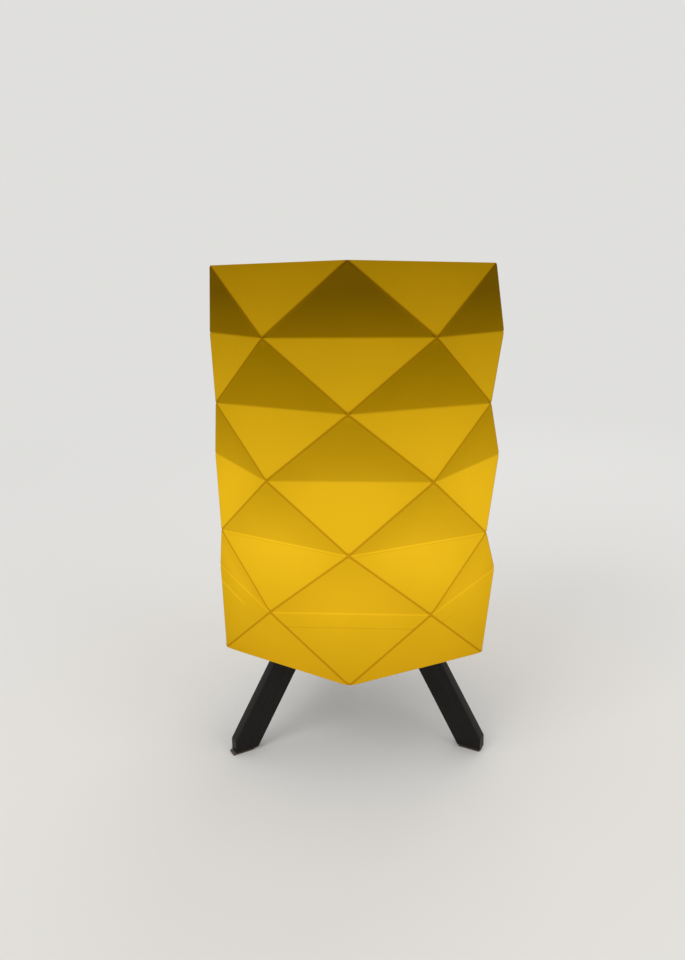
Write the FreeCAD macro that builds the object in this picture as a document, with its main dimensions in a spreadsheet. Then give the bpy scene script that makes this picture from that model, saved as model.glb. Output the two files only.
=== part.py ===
"""Table lamp with a folded shade on a tripod, in millimetres.

One sheet is creased into bands of triangles and closed to a six-sided tube: the horizontal creases are
valleys, the slanted ones are ridges, and every corner lies on one cylinder. A hexagonal ring with glued
tabs stiffens the tube one band above its rim. The shade stands by its rim on the corners of a thin steel
plate. Under the plate a wooden hub takes the heads of three splayed legs. A hollow threaded nipple
clamps plate, hub and lampholder together, and a small screw-in bulb stands in the holder.

Frame: +Z up, the floor at z = 0, the lamp's axis at x = y = 0, the front towards -Y.
"""

import FreeCAD, Part
import math
import os
import re
import Sketcher

SIZES = [
    # The shade: a flat triangle has panel_side as its base and panel_height as its height.
    ("fold_sides", 6, "triangles around the shade, both ways up"),
    ("fold_bands", 6, "bands of triangles one above the other"),
    ("panel_side", 100.0, "base of a triangle"),
    ("panel_height", 44.0, "height of a triangle, measured flat"),
    ("sheet_thickness", 0.5, "the folded sheet"),
    ("rim_height", 77.2, "floor to the shade's rim"),
    # The ring glued into the shade.
    ("ring_thickness", 0.8, "the ring's card"),
    ("ring_hole_radius", 60.0, "opening that bulb and lampholder pass through"),
    ("ring_gap", 0.3, "ring's edge to the sheet"),
    ("tab_depth", 9.0, "glued tab, down from the ring"),
    ("tab_inset", 1.5, "tab's sides, short of the ridges"),
    # The base plate.
    ("plate_thickness", 1.5, "sheet steel"),
    ("plate_rise", 1.8, "plate's top above the rim"),
    ("plate_gap", 0.35, "plate's sides to the sheet"),
    ("plate_corner_round", 3.0, "rounding of the plate's corners"),
    # The hub and the legs.
    ("hub_inset", 1.2, "disc's edge inside the outer line of the legs' heads"),
    ("hub_thickness", 14.0, "wooden disc"),
    ("hub_round", 2.0, "rounding of the hub's lower edge"),
    ("leg_turn", 3.9, "legs turned against the shade, degrees"),
    ("leg_splay", 31.2, "leg against the vertical, degrees"),
    ("leg_width", 19.0, "flat bar, across its length"),
    ("leg_thickness", 8.0, "flat bar"),
    ("leg_round", 0.8, "rounding of the bar's long edges"),
    ("leg_gap", 0.1, "glue line between leg and hub"),
    ("toe_radius", 100.0, "axis to the upright cut at the toe"),
    ("toe_height", 10.2, "floor to the top of that cut"),
    ("pad_thickness", 1.5, "pad under the toe"),
    ("pad_inset", 0.4, "pad's edge inside the sole"),
    ("pad_creep", 2.6, "how far the front left pad has crept outwards"),
    # Pan-head screws through the plate.
    ("screw_radius", 1.75, "shank"),
    ("screw_length", 12.0, "under the head"),
    ("screw_head_radius", 3.5, "head"),
    ("screw_head_height", 2.2, "head"),
    ("screw_recess_width", 1.0, "cross recess"),
    ("screw_recess_length", 4.0, "cross recess"),
    ("screw_recess_depth", 1.2, "cross recess"),
    ("screw_gap", 0.05, "shank to its hole in the wood"),
    ("pilot_spare", 1.0, "pilot hole in a leg, past the screw's tip"),
    ("screw_clearance", 0.35, "shank to its hole in the plate"),
    ("leg_screw_inset", 15.0, "inner line of a leg's head to its screw"),
    ("hub_screw_radius", 32.0, "axis to the screw between two legs"),
    # The nipple that clamps the lampholder down.
    ("nipple_radius", 5.0, "outside of its thread"),
    ("nipple_bore_radius", 3.9, "way for the cord"),
    ("nipple_gap", 0.1, "nipple to the holes that it passes"),
    ("nipple_rise", 2.0, "above the floor of the holder's cap"),
    ("nipple_drop", 1.0, "below the nut"),
    ("pocket_radius", 12.5, "pocket for the nut in the hub's underside"),
    ("pocket_depth", 7.0, "pocket for the nut"),
    ("washer_radius", 10.0, "washer"),
    ("washer_thickness", 1.0, "washer"),
    ("nut_across_flats", 14.0, "nut"),
    ("nut_thickness", 4.0, "nut"),
    ("bush_bore_radius", 3.2, "cord inlet"),
    ("bush_length", 9.0, "sleeve inside the nipple"),
    ("bush_flange_radius", 7.5, "flange under the nipple"),
    ("bush_flange_thickness", 1.5, "flange under the nipple"),
    ("bush_gap", 0.05, "bush in the nipple's bore"),
    # The lampholder, measured up from the plate.
    ("holder_radius", 14.5, "outside"),
    ("holder_wall", 1.6, "wall of cap and shell"),
    ("holder_chamfer", 0.5, "chamfers on its rims"),
    ("cap_height", 12.0, "the lower piece"),
    ("cap_floor", 3.0, "floor of the lower piece"),
    ("spigot_depth", 6.0, "how far the shell reaches into the cap"),
    ("spigot_gap", 0.05, "spigot in the cap, and insert in the shell"),
    ("passage_radius", 9.0, "upper bore of the shell"),
    ("insert_height", 10.0, "insulating insert"),
    ("recess_radius", 5.2, "recess for the centre contact"),
    ("recess_depth", 5.0, "recess for the centre contact"),
    ("sleeve_gap", 0.35, "thread sleeve around the bulb's cap"),
    ("sleeve_wall", 0.4, "thread sleeve"),
    ("sleeve_height", 16.0, "thread sleeve"),
    ("contact_thickness", 0.4, "spring tongue"),
    ("contact_width", 4.0, "spring tongue"),
    ("contact_rise", 3.6, "spring tongue, foot to top"),
    ("contact_reach", 4.4, "half the tongue's length"),
    ("contact_gap", 0.2, "tongue to the bulb's tip"),
    ("terminal_clearance", 1.5, "terminal block above the floor of the lower piece"),
    ("terminal_radius", 7.7, "axis to the middle of a terminal block"),
    ("terminal_depth", 3.6, "terminal block, along its screw"),
    ("terminal_width", 5.0, "terminal block"),
    ("terminal_height", 3.5, "terminal block"),
    ("terminal_screw_radius", 0.8, "shank"),
    ("terminal_head_radius", 1.4, "head"),
    ("terminal_head_height", 0.9, "head"),
    ("terminal_screw_reach", 2.4, "shank inside the block"),
    # The bulb, measured up from its tip.
    ("collar_gap", 1.8, "holder's rim to the bulb's neck"),
    ("tip_radius", 2.4, "solder tip"),
    ("tip_height", 1.0, "solder tip"),
    ("insulator_height", 3.5, "glass cone"),
    ("insulator_radius", 6.0, "glass cone, at its top"),
    ("insulator_foot_radius", 3.2, "glass cone, at its foot"),
    ("bulb_cap_radius", 6.9, "threaded cap"),
    ("bulb_cap_wall", 0.4, "threaded cap"),
    ("bulb_cap_length", 22.0, "tip to the neck"),
    ("bulb_spigot_depth", 6.0, "body inside the threaded cap"),
    ("bulb_wall", 1.4, "wall of the body"),
    ("neck_radius", 8.0, "body at the cap"),
    ("waist_radius", 9.5, "body a little higher"),
    ("waist_rise", 4.0, "neck to the waist"),
    ("flare_height", 22.0, "neck to the globe"),
    ("globe_radius", 22.5, "globe"),
    ("globe_wall", 1.2, "globe"),
    ("globe_seat_radius", 19.6, "body's rim under the globe"),
    ("led_board_thickness", 1.2, "board under the diodes"),
    ("led_board_gap", 0.2, "board in the body's rim"),
    ("led_ledge", 1.8, "ledge that the board lies on"),
    ("led_count", 8, "light diodes"),
    ("led_radius", 11.0, "axis to a diode"),
    ("led_side", 3.0, "diode"),
    ("led_height", 0.8, "diode"),
    ("driver_width", 14.0, "driver board"),
    ("driver_height", 15.0, "driver board"),
    ("driver_thickness", 1.0, "driver board"),
    ("capacitor_radius", 2.8, "capacitor"),
    ("capacitor_height", 8.0, "capacitor"),
    ("coil_side", 5.0, "coil"),
    ("coil_height", 5.5, "coil"),
    ("chip_width", 5.0, "control chip"),
    ("chip_height", 4.0, "control chip"),
    ("chip_thickness", 1.2, "control chip"),
]

CELLS = {alias: "Sizes." + alias for alias, _, _ in SIZES}

# The legs, counted around the axis from the back one.
LEGS = ("back", "front_left", "front_right")

# How far a cut runs past the face that it opens.
OVERRUN = "1"

doc = FreeCAD.newDocument("folded_lamp")
sheet = doc.addObject("Spreadsheet::Sheet", "Sizes")
for line, (alias, value, note) in enumerate(SIZES, start=1):
    sheet.set(f"A{line}", alias)
    sheet.set(f"B{line}", str(value))
    sheet.setAlias(f"B{line}", alias)
    sheet.set(f"C{line}", note)
doc.recompute()


def named(expression):
    """Writes each size's name in an expression as the name of its cell."""
    return re.sub(r"[a-z_]+", lambda word: CELLS.get(word[0], word[0]), expression)


def number(expression):
    """Works out an expression of sizes."""
    return float(sheet.evalExpression(named(expression)))


def bind(item, size, expression):
    """Binds one property of an object to an expression of sizes."""
    item.setExpression(size, named(expression))


# Places that several pieces share, as expressions of the sheet's sizes.
SHADE_RADIUS = "(panel_side / (2 * sin(180 / fold_sides)))"
SIDE_SHARE = "cos(180 / fold_sides)"
BAND_HEIGHT = f"sqrt(panel_height ^ 2 - ({SHADE_RADIUS} * (1 - {SIDE_SHARE})) ^ 2)"
INNER_RADIUS = f"({SHADE_RADIUS} - sheet_thickness * panel_height / {BAND_HEIGHT})"
PLATE_TOP = "(rim_height + plate_rise)"
HUB_TOP = f"({PLATE_TOP} - plate_thickness)"
HUB_UNDERSIDE = f"({HUB_TOP} - hub_thickness)"
NUT_UNDERSIDE = f"({HUB_UNDERSIDE} + pocket_depth - washer_thickness - nut_thickness)"
NIPPLE_FOOT = f"({NUT_UNDERSIDE} - nipple_drop)"
LEG_RUN = "(leg_width / cos(leg_splay))"
INSERT_FOOT = "(cap_floor + terminal_clearance + terminal_height)"
INSERT_TOP = f"({INSERT_FOOT} + insert_height)"
CONTACT_FOOT = f"({INSERT_TOP} - recess_depth)"
TIP_HEIGHT = f"({CONTACT_FOOT} + contact_rise + contact_gap)"
HOLDER_HEIGHT = f"({TIP_HEIGHT} + bulb_cap_length - collar_gap)"
CHAMBER_RADIUS = "(holder_radius - 2 * holder_wall - spigot_gap)"
BOARD_FOOT = "(bulb_cap_length + flare_height - led_ledge)"
GLOBE_RISE = "sqrt((globe_radius - globe_wall / 2) ^ 2 - (globe_seat_radius - bulb_wall) ^ 2)"


def leg_outside(height):
    """The leg's outer line: its distance from the axis at a height."""
    return f"(toe_radius - ({height} - toe_height) * tan(leg_splay))"


def leg_inside(height):
    """The leg's inner line: its distance from the axis at a height."""
    return f"({leg_outside(height)} - {LEG_RUN})"


HUB_RADIUS = f"({leg_outside(HUB_TOP)} - hub_inset)"
LEG_SCREW_RADIUS = f"({leg_inside(HUB_TOP)} + leg_screw_inset)"


def new_body(label):
    """An empty body; several separate solids are allowed in it."""
    body = doc.addObject("PartDesign::Body", label)
    body.Label = label
    body.AllowCompound = True
    return body


def new_sketch(body, name, role):
    """A sketch on one of the body's own origin planes."""
    sketch = body.newObject("Sketcher::SketchObject", name)
    plane = next(f for f in body.Origin.OriginFeatures if f.Role == role)
    sketch.AttachmentSupport = [(plane, "")]
    sketch.MapMode = "FlatFace"
    return sketch


def draw_outline(sketch, corners):
    """A closed outline of straight lines; every corner is held by two expressions."""
    points = [FreeCAD.Vector(number(across), number(up), 0) for across, up in corners]
    first = sketch.GeometryCount
    count = len(corners)
    for i in range(count):
        sketch.addGeometry(Part.LineSegment(points[i], points[(i + 1) % count]), False)
    for i in range(count):
        following = first + (i + 1) % count
        sketch.addConstraint(Sketcher.Constraint("Coincident", first + i, 2, following, 1))
    for i, (across, up) in enumerate(corners):
        hold(sketch, "DistanceX", first + i, 1, across, points[i].x, -2)
        hold(sketch, "DistanceY", first + i, 1, up, points[i].y, -1)
    return sketch


def hold(sketch, kind, item, end, expression, value, axis):
    """Holds a point at an expression's distance from the sketch's origin, or on its axis."""
    if expression == "0":
        sketch.addConstraint(Sketcher.Constraint("PointOnObject", item, end, axis))
        return
    index = sketch.addConstraint(Sketcher.Constraint(kind, -1, 1, item, end, value))
    bind(sketch, f"Constraints[{index}]", expression)


def draw_circle(sketch, radius, across="0", up="0"):
    """A circle whose radius and centre are expressions."""
    centre = FreeCAD.Vector(number(across), number(up), 0)
    item = sketch.addGeometry(Part.Circle(centre, FreeCAD.Vector(0, 0, 1), number(radius)), False)
    index = sketch.addConstraint(Sketcher.Constraint("Radius", item, number(radius)))
    bind(sketch, f"Constraints[{index}]", radius)
    hold(sketch, "DistanceX", item, 3, across, centre.x, -2)
    hold(sketch, "DistanceY", item, 3, up, centre.y, -1)
    return sketch


def draw_polygon(sketch, count, radius):
    """A regular polygon in a construction circle, its first corner on the sketch's -Y axis."""
    circle = sketch.addGeometry(
        Part.Circle(FreeCAD.Vector(0, 0, 0), FreeCAD.Vector(0, 0, 1), number(radius)), True
    )
    index = sketch.addConstraint(Sketcher.Constraint("Radius", circle, number(radius)))
    bind(sketch, f"Constraints[{index}]", radius)
    sketch.addConstraint(Sketcher.Constraint("Coincident", circle, 3, -1, 1))
    first = circle + 1
    turns = [2 * math.pi * i / count for i in range(count)]
    points = [
        FreeCAD.Vector(number(radius) * math.sin(t), -number(radius) * math.cos(t), 0) for t in turns
    ]
    for i in range(count):
        sketch.addGeometry(Part.LineSegment(points[i], points[(i + 1) % count]), False)
    for i in range(count):
        following = first + (i + 1) % count
        sketch.addConstraint(Sketcher.Constraint("Coincident", first + i, 2, following, 1))
        sketch.addConstraint(Sketcher.Constraint("PointOnObject", first + i, 1, circle))
        if i:
            sketch.addConstraint(Sketcher.Constraint("Equal", first, first + i))
    sketch.addConstraint(Sketcher.Constraint("PointOnObject", first, 1, -2))
    return sketch


def add_pad(body, sketch, length, symmetric=False):
    """Pads a sketch up from its plane, or to both sides of it."""
    pad = body.newObject("PartDesign::Pad", sketch.Name + "_pad")
    pad.Profile = sketch
    pad.SideType = "Symmetric" if symmetric else "One side"
    bind(pad, "Length", length)
    doc.recompute()
    return pad


def add_pocket(body, sketch, length, symmetric=False, reverse=False):
    """Cuts a sketch out of the body, and makes sure that material has gone."""
    before = body.Shape.Volume
    pocket = body.newObject("PartDesign::Pocket", sketch.Name + "_cut")
    pocket.Profile = sketch
    pocket.SideType = "Symmetric" if symmetric else "One side"
    pocket.Reversed = reverse
    bind(pocket, "Length", length)
    doc.recompute()
    assert body.Shape.Volume < before, f"{sketch.Name} cuts nothing"
    return pocket


def add_drill(body, name, radius, depth, across, top):
    """Drills down from a height, at a distance along the body's X axis."""
    before = body.Shape.Volume
    drill = body.newObject("PartDesign::SubtractiveCylinder", name)
    bind(drill, "Radius", radius)
    bind(drill, "Height", depth)
    bind(drill, "Placement.Base.x", across)
    bind(drill, "Placement.Base.z", f"{top} - {depth}")
    doc.recompute()
    assert body.Shape.Volume < before, f"{name} cuts nothing"
    return drill


def add_pattern(body, feature, count):
    """Repeats a feature around the body's Z axis."""
    pattern = body.newObject("PartDesign::PolarPattern", feature.Name + "_around")
    pattern.Originals = [feature]
    axis = next(f for f in body.Origin.OriginFeatures if f.Role == "Z_Axis")
    pattern.Axis = (axis, [""])
    pattern.Angle = 360
    bind(pattern, "Occurrences", count)
    body.Tip = pattern
    doc.recompute()
    return pattern


def turn_body(body, angle):
    """Turns a body about the lamp's axis by an expression in degrees."""
    body.Placement = FreeCAD.Placement(
        FreeCAD.Vector(0, 0, 0), FreeCAD.Rotation(FreeCAD.Vector(0, 0, 1), 1)
    )
    bind(body, "Placement.Rotation.Angle", angle)


def lathe(label, corners, height="0"):
    """A turned piece: an outline of (radius, height) corners revolved about Z."""
    body = new_body(label)
    sketch = draw_outline(new_sketch(body, label + "_profile", "XZ_Plane"), corners)
    turned = body.newObject("PartDesign::Revolution", label + "_turned")
    turned.Profile = sketch
    turned.ReferenceAxis = (sketch, ["V_Axis"])
    turned.Angle = 360
    if height != "0":
        bind(body, "Placement.Base.z", height)
    doc.recompute()
    return body


def group(label, members):
    """Several separate solids under one name."""
    compound = doc.addObject("Part::Compound", label)
    compound.Label = label
    compound.Links = members
    doc.recompute()
    return compound


# ---- The shade ----


def fold_corner(row, column, radius):
    """A corner of the fold: rows count up from the rim, and every other row is turned half a step."""
    turn = 2 * math.pi * (column + 0.5 * (row % 2)) / int(number("fold_sides"))
    height = number("rim_height") + row * number(BAND_HEIGHT)
    return FreeCAD.Vector(radius * math.sin(turn), -radius * math.cos(turn), height)


def flat_face(corners):
    """A flat face with these corners."""
    return Part.Face(Part.makePolygon(corners + corners[:1]))


def folded_prism(radius):
    """The closed solid inside the fold whose corners lie on a cylinder of this radius."""
    sides = int(number("fold_sides"))
    bands = int(number("fold_bands"))
    faces = []
    for row in range(bands):
        lead = row % 2
        for column in range(sides):
            low = fold_corner(row, column, radius)
            low_next = fold_corner(row, column + 1, radius)
            high = fold_corner(row + 1, column + lead, radius)
            high_before = fold_corner(row + 1, column + lead - 1, radius)
            faces.append(flat_face([low, low_next, high]))
            faces.append(flat_face([low, high, high_before]))
    for row in (0, bands):
        ring = [fold_corner(row, column, radius) for column in range(sides)]
        faces.append(flat_face(ring))
    return Part.Solid(Part.Shell(faces))


def make_shade_sheet():
    """The folded sheet: the space inside its outer faces less the space inside its inner faces."""
    shade = doc.addObject("Part::Feature", "shade_sheet")
    shade.Label = "shade_sheet"
    outer = folded_prism(number(SHADE_RADIUS))
    inner = folded_prism(number(INNER_RADIUS))
    shade.Shape = outer.cut(inner)
    return shade


def make_stiffener_ring():
    """A flat ring level with the first valley folds, its tabs glued to the panels below them."""
    ring = doc.addObject("Part::Feature", "stiffener_ring")
    ring.Label = "stiffener_ring"
    sides = int(number("fold_sides"))
    radius = number(INNER_RADIUS)
    thickness = number("ring_thickness")
    edge = radius - number("ring_gap") / number(SIDE_SHARE)
    rim = flat_face([fold_corner(1, column, edge) for column in range(sides)])
    shape = rim.extrude(FreeCAD.Vector(0, 0, -thickness))
    for column in range(sides):
        left = fold_corner(1, column - 1, radius)
        right = fold_corner(1, column, radius)
        point = fold_corner(0, column, radius)
        along = (right - left).normalize() * number("tab_inset")
        share = number("tab_depth") / number("panel_height")
        tab = flat_face(
            [
                left + along,
                right - along,
                right + (point - right) * share - along,
                left + (point - left) * share + along,
            ]
        )
        inwards = (right - left).cross(point - left).normalize()
        middle = (left + right) * 0.5
        if inwards.x * middle.x + inwards.y * middle.y > 0:
            inwards = -inwards
        shape = shape.fuse(tab.extrude(inwards * thickness))
    below = FreeCAD.Vector(0, 0, number(f"rim_height + {BAND_HEIGHT} - 2 * ring_thickness"))
    hole = Part.makeCylinder(number("ring_hole_radius"), 3 * thickness, below)
    ring.Shape = shape.cut(hole).removeSplitter()
    return ring


# ---- The tripod ----


def make_base_plate():
    """Thin steel plate: its corners seat the shade, its sides clear the rim."""
    body = new_body("base_plate")
    corner_radius = f"({INNER_RADIUS} - plate_gap / {SIDE_SHARE})"
    sides = int(number("fold_sides"))
    outline = draw_polygon(new_sketch(body, "plate_outline", "XY_Plane"), sides, corner_radius)
    pad = add_pad(body, outline, "plate_thickness")
    upright = [
        f"Edge{i}"
        for i, edge in enumerate(pad.Shape.Edges, start=1)
        if abs(edge.tangentAt(edge.FirstParameter).z) > 0.9
    ]
    rounded = body.newObject("PartDesign::Fillet", "plate_corners")
    rounded.Base = (pad, upright)
    bind(rounded, "Radius", "plate_corner_round")
    doc.recompute()
    bore = draw_circle(new_sketch(body, "plate_bore", "XY_Plane"), "nipple_radius + nipple_gap")
    add_pocket(body, bore, "plate_thickness", reverse=True)
    hole = "screw_radius + screw_clearance"
    for name, radius, lead in (("leg", LEG_SCREW_RADIUS, 0), ("hub", "hub_screw_radius", 0.5)):
        holes = new_sketch(body, f"{name}_screw_holes", "XY_Plane")
        for across, up in screw_places(radius, lead):
            draw_circle(holes, hole, across, up)
        add_pocket(body, holes, "plate_thickness", reverse=True)
    bind(body, "Placement.Base.z", HUB_TOP)
    return body


def leg_azimuth(index):
    """Angle of a leg about Z from +X: the first leg points to the back."""
    return f"(90 + leg_turn + {index * 360 / len(LEGS)})"


def screw_places(radius, lead):
    """Where the screws on one circle stand, as expressions; lead 0.5 is midway between two legs."""
    places = []
    for index in range(len(LEGS)):
        turn = leg_azimuth(index + lead)
        places.append((f"({radius} * cos({turn}))", f"({radius} * sin({turn}))"))
    return places


def make_leg_hub():
    """Wooden disc with a slot for each leg's head, a pocket for the nut and pilot holes."""
    body = new_body("leg_hub")
    disc = draw_circle(new_sketch(body, "hub_disc", "XY_Plane"), HUB_RADIUS)
    pad = add_pad(body, disc, "hub_thickness")
    lower = [
        f"Edge{i}"
        for i, edge in enumerate(pad.Shape.Edges, start=1)
        if edge.Closed and abs(edge.BoundBox.ZMax) < 1e-6
    ]
    rounded = body.newObject("PartDesign::Fillet", "hub_edge")
    rounded.Base = (pad, lower)
    bind(rounded, "Radius", "hub_round")
    doc.recompute()
    pocket = draw_circle(new_sketch(body, "nut_pocket", "XY_Plane"), "pocket_radius")
    add_pocket(body, pocket, "pocket_depth", reverse=True)
    bore = draw_circle(new_sketch(body, "hub_bore", "XY_Plane"), "nipple_radius + nipple_gap")
    add_pocket(body, bore, "hub_thickness", reverse=True)
    low, high = f"(0 - {OVERRUN})", f"(hub_thickness + {OVERRUN})"
    inner_low = f"({leg_inside(f'({HUB_UNDERSIDE} - {OVERRUN})')} - leg_gap)"
    inner_high = f"({leg_inside(f'({HUB_TOP} + {OVERRUN})')} - leg_gap)"
    beyond = f"({HUB_RADIUS} + leg_width)"
    slot = draw_outline(
        new_sketch(body, "leg_slot", "XZ_Plane"),
        [(inner_low, low), (beyond, low), (beyond, high), (inner_high, high)],
    )
    cut = add_pocket(body, slot, "leg_thickness + 2 * leg_gap", symmetric=True)
    add_pattern(body, cut, str(len(LEGS)))
    pilots = new_sketch(body, "pilot_holes", "XY_Plane")
    for index in range(len(LEGS)):
        turn = (index + 0.5) * 360 / len(LEGS)
        across, up = f"(hub_screw_radius * cos({turn}))", f"(hub_screw_radius * sin({turn}))"
        draw_circle(pilots, "screw_radius + screw_gap", across, up)
    add_pocket(body, pilots, "hub_thickness", reverse=True)
    turn_body(body, leg_azimuth(0))
    bind(body, "Placement.Base.z", HUB_UNDERSIDE)
    doc.recompute()
    return body


def make_leg(label, index):
    """Flat bar: head level under the plate, toe cut upright outside and level below."""
    body = new_body(label)
    profile = draw_outline(
        new_sketch(body, label + "_side", "XZ_Plane"),
        [
            (leg_inside("pad_thickness"), "pad_thickness"),
            ("toe_radius", "pad_thickness"),
            ("toe_radius", "toe_height"),
            (leg_outside(HUB_TOP), HUB_TOP),
            (leg_inside(HUB_TOP), HUB_TOP),
        ],
    )
    bar = add_pad(body, profile, "leg_thickness", symmetric=True)
    slanted = []
    for i, edge in enumerate(bar.Shape.Edges, start=1):
        way = edge.tangentAt(edge.FirstParameter)
        if abs(way.x) > 0.1 and abs(way.z) > 0.1:
            slanted.append(f"Edge{i}")
    rounded = body.newObject("PartDesign::Fillet", label + "_edges")
    rounded.Base = (bar, slanted)
    bind(rounded, "Radius", "leg_round")
    doc.recompute()
    hole = "screw_radius + screw_gap"
    depth = "(screw_length - plate_thickness + pilot_spare)"
    add_drill(body, label + "_pilot", hole, depth, LEG_SCREW_RADIUS, HUB_TOP)
    turn_body(body, leg_azimuth(index))
    doc.recompute()
    return body


def make_foot_pad(label, index):
    """Thin pad under a toe; the front left one has crept outwards."""
    body = new_body(label)
    creep = "pad_creep" if label == "pad_front_left" else "0"
    near = f"({leg_inside('pad_thickness')} + pad_inset + {creep})"
    far = f"(toe_radius - pad_inset + {creep})"
    side = "(leg_thickness / 2 - pad_inset)"
    outline = draw_outline(
        new_sketch(body, label + "_outline", "XY_Plane"),
        [(near, f"(0 - {side})"), (far, f"(0 - {side})"), (far, side), (near, side)],
    )
    add_pad(body, outline, "pad_thickness")
    turn_body(body, leg_azimuth(index))
    doc.recompute()
    return body


def make_screw(label, across, up):
    """Pan-head screw, its head's underside on the plate, with a cross recess."""
    head = "screw_head_radius"
    body = lathe(
        label,
        [
            ("0", "(0 - screw_length)"),
            ("screw_radius", "(0 - screw_length + screw_radius)"),
            ("screw_radius", "0"),
            (head, "0"),
            (head, "screw_head_height * 0.5"),
            (f"{head} * 0.7", "screw_head_height"),
            ("0", "screw_head_height"),
        ],
    )
    half, arm = "screw_recess_width / 2", "screw_recess_length / 2"
    floor = "(screw_head_height - screw_recess_depth)"
    above = f"(screw_head_height + {OVERRUN})"
    for role in ("XZ_Plane", "YZ_Plane"):
        cross = draw_outline(
            new_sketch(body, f"{label}_{role[:2].lower()}", role),
            [
                (f"(0 - {arm})", above),
                (f"(0 - {half})", floor),
                (half, floor),
                (arm, above),
            ],
        )
        add_pocket(body, cross, "screw_recess_width", symmetric=True)
    bind(body, "Placement.Base.x", across)
    bind(body, "Placement.Base.y", up)
    bind(body, "Placement.Base.z", PLATE_TOP)
    return body


def make_plate_screws():
    """One screw into each leg's head, and one into the hub between two legs."""
    screws = []
    for radius, lead in ((LEG_SCREW_RADIUS, 0), ("hub_screw_radius", 0.5)):
        for across, up in screw_places(radius, lead):
            screws.append(make_screw(f"screw_{len(screws) + 1}", across, up))
    return group("plate_screws", screws)


# ---- The nipple and what it clamps ----


def make_nipple_set():
    """Threaded tube, washer, nut and the bush that the cord enters by."""
    outer, bore = "nipple_radius", "nipple_bore_radius"
    length = f"({PLATE_TOP} + cap_floor + nipple_rise - {NIPPLE_FOOT})"
    bevel = "(nipple_radius - nipple_bore_radius) / 2"
    nipple = lathe(
        "nipple",
        [
            (bore, "0"),
            (f"({outer} - {bevel})", "0"),
            (outer, bevel),
            (outer, f"({length} - {bevel})"),
            (f"({outer} - {bevel})", length),
            (bore, length),
        ],
        NIPPLE_FOOT,
    )
    inside = "(nipple_radius + nipple_gap)"
    washer = lathe(
        "nipple_washer",
        [
            (inside, "0"),
            ("washer_radius", "0"),
            ("washer_radius", "washer_thickness"),
            (inside, "washer_thickness"),
        ],
        f"{NUT_UNDERSIDE} + nut_thickness",
    )
    nut = new_body("nipple_nut")
    corner = "(nut_across_flats / (2 * cos(30)))"
    outline = draw_polygon(new_sketch(nut, "nut_outline", "XY_Plane"), 6, corner)
    draw_circle(outline, inside)
    add_pad(nut, outline, "nut_thickness")
    bind(nut, "Placement.Base.z", NUT_UNDERSIDE)
    sleeve = "(nipple_bore_radius - bush_gap)"
    flange = "bush_flange_thickness"
    bush = lathe(
        "cord_bush",
        [
            ("bush_bore_radius", "0"),
            ("bush_flange_radius", "0"),
            ("bush_flange_radius", flange),
            (sleeve, flange),
            (sleeve, f"({flange} + bush_length)"),
            ("bush_bore_radius", f"({flange} + bush_length)"),
        ],
        f"{NIPPLE_FOOT} - bush_flange_thickness",
    )
    return [nipple, washer, nut, bush]


# ---- The lampholder ----


def make_holder_shells():
    """The cap on the nipple, and the shell whose spigot sits in it."""
    outer, bevel = "holder_radius", "holder_chamfer"
    inside = "(holder_radius - holder_wall)"
    bore = "(nipple_radius + nipple_gap)"
    cap = lathe(
        "holder_cap",
        [
            (bore, "0"),
            (f"({outer} - {bevel})", "0"),
            (outer, bevel),
            (outer, "cap_height"),
            (inside, "cap_height"),
            (inside, "cap_floor"),
            (bore, "cap_floor"),
        ],
        PLATE_TOP,
    )
    spigot = "(holder_radius - holder_wall - spigot_gap)"
    spigot_foot = "(cap_height - spigot_depth)"
    passage = "passage_radius"
    neck = "(passage_radius + holder_wall)"
    shell = lathe(
        "holder_shell",
        [
            (CHAMBER_RADIUS, spigot_foot),
            (spigot, spigot_foot),
            (spigot, "cap_height"),
            (outer, "cap_height"),
            (outer, INSERT_TOP),
            (neck, f"({INSERT_TOP} + {outer} - {neck})"),
            (neck, f"({HOLDER_HEIGHT} - {bevel})"),
            (f"({neck} - {bevel})", HOLDER_HEIGHT),
            (f"({passage} + {bevel})", HOLDER_HEIGHT),
            (passage, f"({HOLDER_HEIGHT} - {bevel})"),
            (passage, INSERT_TOP),
            (CHAMBER_RADIUS, INSERT_TOP),
        ],
        PLATE_TOP,
    )
    return [cap, shell]


def make_holder_core():
    """Insulating insert, thread sleeve, spring tongue and the two terminals."""
    edge = f"({CHAMBER_RADIUS} - spigot_gap)"
    insert = lathe(
        "holder_insert",
        [
            ("0", INSERT_FOOT),
            (edge, INSERT_FOOT),
            (edge, INSERT_TOP),
            ("recess_radius", INSERT_TOP),
            ("recess_radius", CONTACT_FOOT),
            ("0", CONTACT_FOOT),
        ],
        PLATE_TOP,
    )
    wall = "sleeve_wall"
    bore = "(bulb_cap_radius + sleeve_gap)"
    sleeve = lathe(
        "thread_shell",
        [
            ("recess_radius", INSERT_TOP),
            (f"({bore} + {wall})", INSERT_TOP),
            (f"({bore} + {wall})", f"({INSERT_TOP} + sleeve_height)"),
            (bore, f"({INSERT_TOP} + sleeve_height)"),
            (bore, f"({INSERT_TOP} + {wall})"),
            ("recess_radius", f"({INSERT_TOP} + {wall})"),
        ],
        PLATE_TOP,
    )
    return [insert, sleeve, make_centre_contact(), *make_terminals()]


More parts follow.
